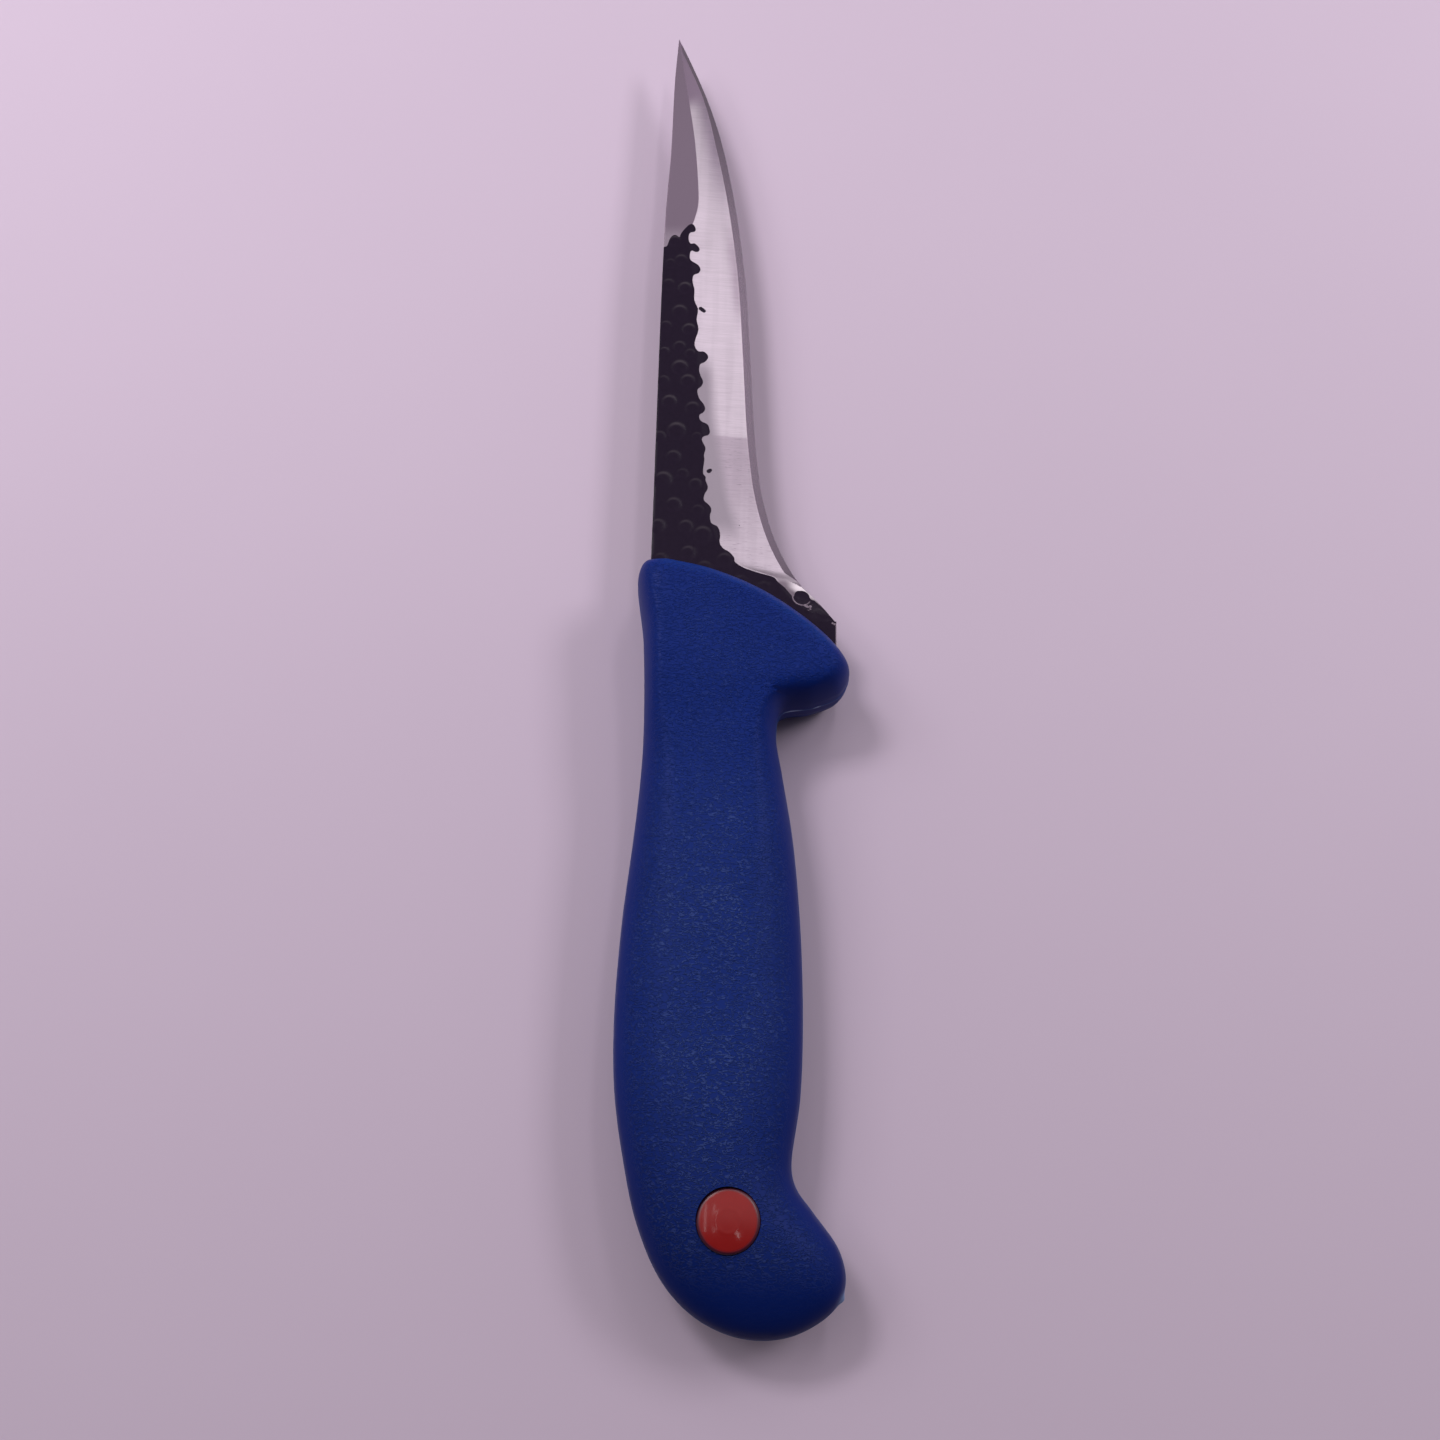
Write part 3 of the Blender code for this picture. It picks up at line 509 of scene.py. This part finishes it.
def reach_inside(points, outline):
    """Smooth distance from the outline: the cube root of pi over twice the sum of 1 / gap^4.

    It equals the distance near the outline and rounds off the ridges that the distance has
    halfway between two sides. Close to the outline the plain distance takes over.
    """
    plain = distance_inside(points, outline)
    step = np.linalg.norm(np.diff(outline, axis=0), axis=1)
    middle = (outline[1:] + outline[:-1]) / 2
    total = np.empty(len(points))
    for low in range(0, len(points), BLOCK):
        away = points[low:low + BLOCK, None, :] - middle[None, :, :]
        total[low:low + BLOCK] = (step / ((away ** 2).sum(2) + 1e-6) ** 2).sum(1)
    smooth = np.cbrt(math.pi / (2.0 * total))
    return plain + (smooth - plain) * ease(plain, 0.5, 1.2)


def half_thickness(y):
    """Half the handle's thickness on its flats: bolster, neck, palm swell, butt."""
    neck = ease(y, NECK_Y + 10.0, NECK_Y) * ease(y, NECK_Y - 26.0, NECK_Y - 6.0)
    fall = BUTT_FALL * np.maximum(WAIST_Y + BUTT_LEAD - y, 0.0) ** 2
    return HALF_HANDLE - NECK_THINNER * neck - fall


def edge_rounding(y):
    """How far in from the outline the handle rounds: little at the bolster, fully at the palm."""
    radius = BOLSTER_ROUNDING + NECK_ROUNDING * ease(y, NECK_Y + 6.0, NECK_Y - 10.0)
    radius = radius + PALM_ROUNDING * ease(y, NECK_Y - 6.0, NECK_Y - 58.0)
    return radius + BUTT_ROUNDING * ease(y, WAIST_Y + 6.0, WAIST_Y - 14.0)


def handle_height(points, outline):
    """Height over the mid plane: half thickness times a quarter of an ellipse of the reach."""
    y = points[:, 1]
    past = 1.0 - np.clip(reach_inside(points, outline) / edge_rounding(y), 0.0, 1.0)
    return half_thickness(y) * np.sqrt(1.0 - past ** 2)


def plug_level(outline):
    """Height of the handle's face round the plug, the mean over a ring."""
    angle = np.linspace(0.0, 2 * math.pi, 24, endpoint=False)
    ring = np.stack([PLUG_X + PLUG_SEAT * np.cos(angle), PLUG_Y + PLUG_SEAT * np.sin(angle)],
                    axis=1)
    return float(handle_height(ring, outline).mean())


def make_handle(material):
    """Grid from the outline up to the centreline, on both faces.

    Each ring of the grid lies a share of the way from the outline to the centreline. Its height
    follows a quarter of an ellipse over the rounding, then the flat. The rings next to the mid
    plane stand back a little, which leaves the mould's seam proud, and round one spot they stand
    out for the gate's nub.
    """
    outline = curve_through(HANDLE, 24)
    line = curve_through(CENTRE, 60)
    run = np.append(0.0, np.cumsum(np.linalg.norm(np.diff(line, axis=0), axis=1)))
    round_run = np.append(0.0, np.cumsum(np.linalg.norm(np.diff(outline, axis=0), axis=1)))
    nearest = ((outline[:, None, :] - line[None, :, :]) ** 2).sum(2).argmin(1)
    first_back = np.nonzero(nearest > 0)[0][0]
    last_edge = np.nonzero(nearest > 0)[0][-1]
    butt = np.nonzero(nearest == len(line) - 1)[0]
    stations = np.linspace(0.0, run[-1], STATIONS)
    back = np.interp(stations, run[nearest[first_back:butt[0] + 1]],
                     round_run[first_back:butt[0] + 1])
    edge = np.interp(stations, run[nearest[butt[-1]:last_edge + 1]][::-1],
                     round_run[butt[-1]:last_edge + 1][::-1])
    butt_fan = np.linspace(back[-1], edge[-1], BUTT_FAN + 2)[1:-1]
    front_fan = np.linspace(edge[0], back[0] + round_run[-1], FRONT_FAN + 2)[1:-1]
    where = np.concatenate([back, butt_fan, edge[::-1], front_fan]) % round_run[-1]
    rim = np.stack([np.interp(where, round_run, outline[:, i]) for i in (0, 1)], axis=1)
    last = len(stations) - 1
    centre_of = np.concatenate([np.arange(last + 1), np.full(BUTT_FAN, last),
                                np.arange(last, -1, -1), np.zeros(FRONT_FAN, dtype=int)])
    centre = np.stack([np.interp(stations, run, line[:, i]) for i in (0, 1)], axis=1)

    hub = centre[centre_of]
    reach = np.linalg.norm(rim - hub, axis=1)
    rounded = np.minimum(edge_rounding(rim[:, 1]) / reach, 0.88)
    turn = np.concatenate([[0.010, 0.020, 0.032, 0.048, 0.070],
                           np.linspace(0.10, math.pi / 2, 19)])
    rows = [rounded * (1.0 - math.cos(a)) for a in turn]
    rows += [rounded + (1.0 - rounded) * k / 7 for k in range(1, 7)]
    count = len(rim)
    inner = np.stack([rim + (hub - rim) * row[:, None] for row in rows])
    flat = np.vstack([inner.reshape(-1, 2), centre])
    height = handle_height(flat, outline)

    # The seam and the nub are moved along the line from the centre to the rim.
    out = (rim - hub) / reach[:, None]
    nub = np.exp(-(np.hypot(rim[:, 0] - NUB[0], rim[:, 1] - NUB[1]) / NUB_RADIUS) ** 2)
    ring_height = height[:len(rows) * count]
    lift = SEAM_HEIGHT * (np.exp(-(ring_height / 0.16) ** 2) - 1.0) * (ring_height < 2.0)
    lift += NUB_HEIGHT * np.tile(nub, len(rows)) * np.exp(-(ring_height / 0.8) ** 2)
    flat[:len(rows) * count] += np.tile(out, (len(rows), 1)) * lift[:, None]
    rim = rim + out * (NUB_HEIGHT * nub)[:, None]

    upper = np.column_stack([flat, height])
    lower = np.column_stack([flat, -height])
    verts = np.vstack([np.column_stack([rim, np.zeros(count)]), upper, lower])
    faces = []
    for turned_over, base in ((False, count), (True, count + len(upper))):
        rings = [np.arange(count)]
        rings += [base + np.arange(count) + k * count for k in range(len(rows))]
        sheet = np.concatenate([grid_faces(a, b) for a, b in zip(rings, rings[1:])])
        inner_ring = rings[-1]
        hubs = base + len(rows) * count + centre_of
        closing = grid_faces(inner_ring, hubs)
        fan = closing[:, 2] == closing[:, 3]
        if turned_over:
            sheet = sheet[:, ::-1]
            closing = closing[:, ::-1]
            faces += closing[fan][:, 1:].tolist()
        else:
            faces += closing[fan][:, :3].tolist()
        faces += sheet.tolist() + closing[~fan].tolist()
    handle = new_piece("moulded_handle", verts, faces)
    cut(handle, [pocket_cutter(), plug_bore(plug_level(outline))])
    px, py, pz = measured(handle.data).T
    inset = distance_inside(np.stack([px, py], axis=1), outline)
    paint(handle, "inset", inset)
    paint(handle, "along", py)
    # Masks for painted light: a pale band along the front edge, and painted glints on the seam,
    # the nub and the burrs under the guard.
    front = distance_inside(np.stack([px, py], axis=1), np.array(HANDLE[-4:]))
    paint(handle, "front", np.exp(-((front - FRONT_LIGHT_BAND) / 0.8) ** 2))
    seam = np.exp(-(pz / 0.22) ** 2) * (inset < 1.0)
    nub = np.exp(-((px - NUB[0]) ** 2 + (py - NUB[1]) ** 2 + pz ** 2) / 1.2)
    paint(handle, "seam", seam + nub)
    burr = 0.4 * nub
    for middle, half, share in GUARD_BURR_GLINTS:
        near = np.exp(-((px - middle) / half) ** 2) * (np.abs(py - GUARD_Y) < 1.5)
        burr += share * seam * near
    paint(handle, "burr", burr)
    finish_surface(handle, 40, material)
    return handle


def pocket_cutter():
    """Slot for the heel and the tang, with the posts that fill the tang's holes left out."""
    left, right = seat_sides(POCKET_FIT)
    plan = [(HEEL_X + POCKET_FIT, 3.0), (-POCKET_FIT, 3.0)]
    plan += [tuple(point) for point in left] + [tuple(point) for point in right[::-1]]
    half = STOCK / 2 + POCKET_FIT
    verts = [(x, y, z) for z in (half, -half) for x, y in plan]
    count = len(plan)
    faces = [tuple(range(count)), tuple(range(2 * count - 1, count - 1, -1))]
    faces += [(k, count + k, count + (k + 1) % count, (k + 1) % count) for k in range(count)]
    pocket = new_piece("pocket", verts, faces)
    radius = ANCHOR_RADIUS - POCKET_FIT
    cut(pocket, [anchor_rod("post", k, radius) for k in range(ANCHOR_COUNT)])
    return pocket


# Plug: its two discs, the seats that take them, and the pin and sleeve inside the bore.
PLUG_SIDES = 128
SEAT_DEPTH = 2.3
DISC_THICKNESS = 2.0
DOME_HEIGHT = 0.80      # of the disc's middle over the handle's face, and its fall to the rim
DOME_FALL = 0.75
DISC_FLAT = 4.62        # radius where the rim's rounding begins
DISC_ROUNDING = 0.5
RIM_DROP = 0.35         # how far the rounding falls
STEM_RADIUS = 3.2
PIN_RADIUS = 1.7
PIN_END = -4.7
SLEEVE_GAP = 0.3        # between the stem's end and the sleeve's
SLEEVE_BORE = 2.0
SLEEVE_DEPTH = 5.0


def plug_bore(face):
    """Bore for the plug's stem with a seat for its disc at each face."""
    seat = face - SEAT_DEPTH
    profile = [(0, face + 2), (PLUG_SEAT, face + 2), (PLUG_SEAT, seat), (STEM_BORE, seat),
               (STEM_BORE, -seat), (PLUG_SEAT, -seat), (PLUG_SEAT, -face - 2), (0, -face - 2)]
    return turned("bore", profile, PLUG_X, PLUG_Y, PLUG_SIDES)


def disc_profile(face):
    """Disc of a plug's half, in to its stem: a low dome with a faint ring and a rounded rim."""
    turn = np.linspace(0.10, 1.0, 9) * math.pi / 2
    radius = np.concatenate([np.linspace(0.0, DISC_FLAT, 46),
                             PLUG_RADIUS - DISC_ROUNDING * (1.0 - np.sin(turn))])
    height = face + DOME_HEIGHT - DOME_FALL * (radius / PLUG_RADIUS) ** 2
    height += 0.02 * np.exp(-((radius - 1.9) / 0.35) ** 2)
    rim = np.clip((radius - DISC_FLAT) / DISC_ROUNDING, 0.0, 1.0)
    height -= RIM_DROP * (1.0 - np.sqrt(1.0 - rim ** 2))
    return list(zip(radius, height)) + [(PLUG_RADIUS, face - DISC_THICKNESS),
                                        (STEM_RADIUS, face - DISC_THICKNESS)]


def make_plug(material):
    """Head with stem and pin from above, cap with sleeve from below, turned about one axis."""
    face = plug_level(curve_through(HANDLE, 24))
    disc = disc_profile(face)
    head = disc + [(STEM_RADIUS, SLEEVE_GAP), (PIN_RADIUS, SLEEVE_GAP), (PIN_RADIUS, PIN_END),
                   (0.0, PIN_END)]
    cap = disc + [(STEM_RADIUS, 0.0), (SLEEVE_BORE, 0.0), (SLEEVE_BORE, SLEEVE_DEPTH),
                  (0.0, SLEEVE_DEPTH)]
    under = [(radius, -z) for radius, z in cap][::-1]
    pieces = [turned("plug_disc_head", head, PLUG_X, PLUG_Y, PLUG_SIDES),
              turned("plug_disc_cap", under, PLUG_X, PLUG_Y, PLUG_SIDES)]
    for piece in pieces:
        px, py, _ = measured(piece.data).T
        paint(piece, "outward", np.hypot(px - PLUG_X, py - PLUG_Y))
        finish_surface(piece, 40, material)
    return pieces


class Shader:
    """A Principled material and short calls for its nodes."""

    def __init__(self, name):
        self.material = bpy.data.materials.new(name)
        self.material.use_nodes = True
        self.tree = self.material.node_tree
        self.surface = self.tree.nodes["Principled BSDF"]

    def put(self, socket, value):
        """Give a socket a plain value or another node's output."""
        if hasattr(value, "is_output"):
            self.tree.links.new(value, socket)
        elif isinstance(value, (tuple, list)):
            size = len(socket.default_value)
            socket.default_value = (tuple(value) + (1.0,))[:size]
        else:
            socket.default_value = value

    def add(self, kind, inputs, **settings):
        """New node with its settings, its inputs by name or number."""
        node = self.tree.nodes.new("ShaderNode" + kind)
        for name, value in settings.items():
            setattr(node, name, value)
        for name, value in inputs.items():
            self.put(node.inputs[name], value)
        return node

    def set(self, **values):
        """Values or links on the Principled shader."""
        for name, value in values.items():
            self.put(self.surface.inputs[name.replace("_", " ")], value)

    def place(self, density=(1.0, 1.0, 1.0)):
        """Object coordinates in millimetres times a density along each of the knife's axes."""
        coordinates = self.add("TexCoord", {}).outputs["Object"]
        scale = tuple(share / MM for share in density)
        return self.add("Mapping", {"Vector": coordinates, "Scale": scale}).outputs["Vector"]

    def value_of(self, name):
        """A number painted on the vertices."""
        return self.add("Attribute", {}, attribute_name=name).outputs["Fac"]

    def noise(self, vector, scale, detail=2.0, roughness=0.5, distortion=0.0):
        """Soft noise, between 0 and 1; scale is in features a millimetre."""
        return self.add("TexNoise", {"Vector": vector, "Scale": scale, "Detail": detail,
                                     "Roughness": roughness,
                                     "Distortion": distortion}).outputs["Fac"]

    def span(self, value, low, high, to_low=0.0, to_high=1.0):
        """Smooth change from one value to another as the input goes from low to high."""
        return self.add("MapRange", {"Value": value, "From Min": low, "From Max": high,
                                     "To Min": to_low, "To Max": to_high},
                        interpolation_type="SMOOTHSTEP").outputs["Result"]

    def maths(self, operation, a, b=0.0):
        """One arithmetic step on two numbers."""
        return self.add("Math", {0: a, 1: b}, operation=operation).outputs[0]

    def times(self, a, b):
        """Product of two numbers."""
        return self.maths("MULTIPLY", a, b)

    def mix(self, share, a, b):
        """Number a where share is 0, number b where it is 1."""
        return self.add("Mix", {0: share, 2: a, 3: b}).outputs[0]

    def blend(self, share, a, b):
        """Colour a where share is 0, colour b where it is 1."""
        return self.add("Mix", {0: share, 6: a, 7: b}, data_type="RGBA").outputs[2]

    def tint(self, share, colour, tone):
        """Colour times a tone, by the share."""
        return self.add("Mix", {0: share, 6: colour, 7: tone}, data_type="RGBA",
                        blend_type="MULTIPLY").outputs[2]

    def bump(self, height, distance, strength):
        """Normal of a relief whose full height is a distance in millimetres."""
        return self.add("Bump", {"Height": height, "Distance": distance * MM,
                                 "Strength": strength}).outputs["Normal"]

    def finish(self, specular_level):
        """Set the specular level on the shader's own socket, and hand over the material."""
        self.surface.inputs["Specular IOR Level"].default_value = specular_level
        return self.material


def blade_finish():
    """Black scale, brushed satin, tip facet and polished strip, split by painted lines; facet and
    strip are painted darker as painted reflection.
    """
    s = Shader("blade_steel")
    y = s.value_of("along")
    across = s.value_of("across")
    past_grind = s.value_of("past_grind")
    past_shoulder = s.value_of("past_shoulder")
    black_part = s.span(s.value_of("scale"), -0.05, 0.05)
    facet = s.times(s.span(past_grind, 0.06, -0.06), s.span(y, 70.0, 71.0))
    strip = s.span(past_shoulder, -0.05, 0.05)

    # Satin: brush lines across the blade and broad streaks along it.
    lines = s.noise(s.place((0.16, 4.5, 0.05)), 1.0, 3.0, 0.65)
    streaks = s.noise(s.place((0.6, 0.03, 0.1)), 1.0, 1.0, 0.5)
    satin = s.blend(s.span(lines, 0.25, 0.75), (0.518, 0.439, 0.507), (0.600, 0.510, 0.588))
    satin = s.tint(s.span(streaks, 0.62, 0.36), satin, (0.94, 0.94, 0.94))

    # What darkens it, from the tip to the heel: painted reflection along the middle, across the
    # tip and beside the strip, real scratches, and plain darker tones below y 27 and at the heel.
    tip = s.times(s.span(across, 0.0, 1.0), s.span(y, 72.0, 100.0))
    strip_side_reflection = s.times(s.span(past_shoulder, -2.6, -0.3),
                   s.times(s.span(y, 50.0, 62.0), s.span(y, 80.0, 70.0)))
    middle = s.span(y, 66.0, 28.0)
    low = s.times(s.span(y, 27.6, 26.7), s.span(y, 2.0, 22.0, 0.3, 1.0))
    crossing = s.noise(s.place((0.45, 5.5, 0.1)), 1.0, 2.0, 0.6)
    scratches = s.times(s.span(crossing, 0.39, 0.29), s.span(y, 36.0, 20.0))
    heel = s.span(y, -3.2, -4.6)
    for share, tone in ((middle, (0.86, 0.86, 0.86)), (tip, (0.50, 0.46, 0.52)),
                        (strip_side_reflection, (0.72, 0.68, 0.72)), (low, (0.75, 0.72, 0.75)),
                        (scratches, (0.60, 0.58, 0.60)), (heel, (0.40, 0.37, 0.40))):
        satin = s.tint(share, satin, tone)

    # Grey shade beside the scale, the heel's bare patch with a painted highlight along its upper
    # side, and painted reflection darkening the point.
    from_scale = s.maths("ADD", past_grind, s.span(y, 30.0, 8.0, 0.0, -2.2))
    beside = s.times(s.span(from_scale, 4.4, 1.6),
                     s.times(s.span(y, 47.0, 40.0), s.span(y, 3.0, 9.0)))
    satin = s.blend(beside, satin, (0.265, 0.222, 0.265))
    satin = s.blend(s.value_of("polish"), satin, (0.76, 0.67, 0.73))
    point = s.span(s.maths("ADD", y, s.times(across, -2.0)), 105.5, 110.5)
    satin = s.blend(point, satin, (0.265, 0.194, 0.268))

    # Painted reflection: the tip facet is painted a dark grey, lighter where it begins, and the
    # polished strip darker still.
    facet_reflection_grey = s.tint(s.span(y, 100.0, 70.0), (0.345, 0.256, 0.345), (0.93, 0.93, 0.93))
    facet_reflection_grey = s.blend(s.span(y, 77.0, 73.0, 0.0, 0.7), facet_reflection_grey, (0.520, 0.420, 0.520))
    steel = s.blend(facet, satin, facet_reflection_grey)
    steel = s.blend(strip, steel, (0.258, 0.197, 0.258))
    mottle = s.noise(s.place(), 1.1, 3.0)
    black = s.blend(mottle, (0.0125, 0.0070, 0.0175), (0.0180, 0.0105, 0.0240))
    # Painted highlight: pale arcs on the rim of each hammer mark, on its side towards the tip.
    black = s.blend(s.value_of("mark_rim"), black, (0.062, 0.050, 0.064))

    ground = s.mix(strip, s.mix(facet, 0.45, 0.25), 0.16)
    fine = s.noise(s.place((0.12, 7.0, 0.12)), 1.0, 2.0, 0.7)
    brushed = s.bump(s.times(fine, s.maths("SUBTRACT", 1.0, strip)), 0.006, 0.6)
    rough = s.bump(s.noise(s.place(), 1.6, 4.0), 0.03, 0.5)
    normal = s.add("Mix", {0: black_part, 4: brushed, 5: rough}, data_type="VECTOR").outputs[1]
    s.set(Base_Color=s.blend(black_part, steel, black),
          Metallic=s.maths("SUBTRACT", 1.0, black_part),
          Roughness=s.mix(black_part, ground, 0.28), Normal=normal)
    return s.finish(0.06)


def handle_finish():
    """Blue moulded plastic with a worm-like grain that fades at the rims.

    The grain is a ridge where the noise passes its middle value. It is relief, and its ridges
    are paler, so that the grip looks hazy: a painted sheen, strongest over the grip's middle.
    The plastic is painted darker towards the butt's end as painted shade, and carries painted
    light along the front edge and painted glints on the seam, the nub and the burrs under the
    guard.
    """
    s = Shader("handle_plastic")
    y = s.value_of("along")
    inset = s.value_of("inset")
    fade = s.times(s.span(inset, 1.0, 4.0), s.span(y, -131.0, -122.0, 0.12, 1.0))
    worms = s.noise(s.place((0.80, 1.5, 1.0)), 1.20, 1.5, 0.5, 0.8)
    ridge = s.span(s.maths("ABSOLUTE", s.maths("SUBTRACT", worms, 0.5)), 0.075, 0.0)
    grain = s.times(ridge, fade)
    relief = s.times(grain, s.span(y, -40.0, -95.0, 0.7, 0.85))

    # Painted sheen: paler grain ridges in uneven patches, strongest over the grip's middle, weaker
    # at the bolster and fading towards the butt's end.
    patchiness = s.span(s.noise(s.place((0.10, 0.07, 0.1)), 1.0, 2.0), 0.35, 0.65, 0.60, 1.0)
    dots = s.times(s.times(grain, patchiness), 0.6)
    ridges_and_sheen = s.times(s.span(y, -28.0, -70.0, 0.30, 1.0), s.span(inset, 2.0, 12.0, 0.65, 1.15))
    ridges_and_sheen = s.times(ridges_and_sheen, s.maths("ADD", dots, s.times(fade, 0.11)))

    patch = s.noise(s.place(), 0.12, 3.0)
    colour = s.blend(patch, (0.0036, 0.0168, 0.150), (0.0050, 0.0198, 0.168))
    colour = s.blend(ridges_and_sheen, colour, (0.046, 0.077, 0.245))
    # Painted shade: darker towards the butt's end.
    colour = s.tint(s.span(y, -85.0, -132.0), colour, (0.76, 0.74, 0.76))
    # Painted light: a paler band along the front edge, where its rounding faces the lamps.
    colour = s.blend(s.times(s.value_of("front"), 0.40), colour, (0.010, 0.042, 0.215))
    # Painted glints on the seam, the nub and the burrs under the guard.
    colour = s.blend(s.times(s.value_of("seam"), 0.42), colour, (0.080, 0.210, 0.500))
    colour = s.blend(s.value_of("burr"), colour, (0.60, 0.75, 1.0))
    s.set(Base_Color=colour, Roughness=0.42, Normal=s.bump(relief, 0.15, 1.0))
    return s.finish(0.06)


def plug_finish():
    """Red moulded plastic, shiny on the dome and duller round the rim, where it is painted darker
    and bluer as painted shade.
    """
    s = Shader("plug_plastic")
    outward = s.value_of("outward")
    colour = s.blend(s.noise(s.place(), 0.8, 2.0), (0.252, 0.0110, 0.0110),
                     (0.288, 0.0140, 0.0140))
    # Painted shade: darker and bluer round the rim.
    colour = s.blend(s.span(outward, 4.35, 4.90), colour, (0.055, 0.007, 0.022))
    s.set(Base_Color=colour, Roughness=s.span(outward, 4.3, 4.7, 0.11, 0.36),
          Normal=s.bump(s.noise(s.place(), 1.2, 2.0), 0.003, 0.3))
    return s.material


def floor_finish():
    """Pale mauve board with a faint cloudiness."""
    s = Shader("pale_board")
    colour = s.blend(s.noise(s.place(), 0.012, 2.0), (0.585, 0.470, 0.590),
                     (0.605, 0.488, 0.610))
    s.set(Base_Color=colour, Roughness=0.75)
    return s.finish(0.2)


FLOOR_REACH = 900.0


def make_floor():
    """Flat square sheet under the knife."""
    signs = ((-1, -1), (1, -1), (1, 1), (-1, 1))
    corners = [(a * FLOOR_REACH, b * FLOOR_REACH, -HALF_HANDLE) for a, b in signs]
    floor = new_piece("floor", corners, [(0, 1, 2, 3)])
    floor.data.materials.append(floor_finish())


LENS = 36.0             # focal length, as wide as the sensor
CAMERA_SPOT = (15.81, -118.71, 250.0)
CAMERA_PITCH = 19.2     # degrees towards the tip
CAMERA_TURN = 1.2913    # degrees about the standing axis


def make_camera():
    """Camera over the butt, pitched towards the tip as in the photograph."""
    data = bpy.data.cameras.new("camera")
    data.lens = LENS
    data.sensor_width = LENS
    camera = bpy.data.objects.new("camera", data)
    camera.location = place(CAMERA_SPOT)
    camera.rotation_euler = (math.radians(CAMERA_PITCH), 0.0, math.radians(CAMERA_TURN))
    bpy.context.scene.collection.objects.link(camera)
    bpy.context.scene.camera = camera


# Light of the surroundings: how far towards the tip a direction points where it starts to rise
# and where it is full, and its strength at both. Ceiling lamps: name, middle, width, length,
# power. The three thin tubes matter only as streaks in the plug.
LIGHT_TONE = (1.0, 0.98, 1.0)
SURROUNDINGS = (-0.4, 0.25, 0.011, 0.502)
LAMPS = [
    ("left_panel", (-220.0, 212.0, 450.0), 160.0, 130.0, 1.26),
    ("far_left_panel", (-340.0, 30.0, 450.0), 90.0, 240.0, 0.218),
    ("left_bank", (-480.0, 200.0, 450.0), 200.0, 300.0, 0.671),
    ("right_panel", (165.0, 340.0, 450.0), 50.0, 320.0, 0.389),
    ("right_bank", (480.0, 200.0, 450.0), 200.0, 300.0, 1.90),
    ("left_tube", (-151.0, -89.0, 620.0), 16.0, 320.0, 0.032),
    ("outer_tube", (-261.0, -89.0, 620.0), 16.0, 320.0, 0.050),
    ("short_tube", (148.0, -267.0, 620.0), 16.0, 90.0, 0.024)]


def make_lamp(name, spot, width, length, power):
    """Soft ceiling panel that faces down, its length along the knife."""
    data = bpy.data.lights.new(name, "AREA")
    data.shape = "RECTANGLE"
    data.size = width * MM
    data.size_y = length * MM
    data.energy = power
    data.color = LIGHT_TONE
    lamp = bpy.data.objects.new(name, data)
    lamp.location = place(spot)
    bpy.context.scene.collection.objects.link(lamp)


def make_light():
    """Surroundings that darken behind the butt, and the ceiling lamps."""
    world = bpy.data.worlds.new("world")
    bpy.context.scene.world = world
    world.use_nodes = True
    nodes = world.node_tree.nodes
    links = world.node_tree.links
    background = nodes["Background"]
    background.inputs["Color"].default_value = LIGHT_TONE + (1.0,)
    split = nodes.new("ShaderNodeSeparateXYZ")
    links.new(nodes.new("ShaderNodeTexCoord").outputs["Generated"], split.inputs[0])
    span = nodes.new("ShaderNodeMapRange")
    span.interpolation_type = "SMOOTHSTEP"
    for number, value in enumerate(SURROUNDINGS, 1):
        span.inputs[number].default_value = value
    links.new(split.outputs["Y"], span.inputs[0])
    links.new(span.outputs[0], background.inputs["Strength"])
    for name, spot, width, length, power in LAMPS:
        make_lamp(name, spot, width, length, power)
    bpy.context.scene.view_settings.view_transform = "Standard"


blade = make_blade(blade_finish())
handle = make_handle(handle_finish())
plug_head, plug_cap = make_plug(plug_finish())
for piece, node, slot in ((blade, "blade", "blade_steel"), (handle, "handle", "handle_plastic"),
                          (plug_head, "plug_head", "plug_plastic"),
                          (plug_cap, "plug_cap", "plug_plastic")):
    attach(piece, "root")
    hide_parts(node)
make_floor()
make_camera()
make_light()
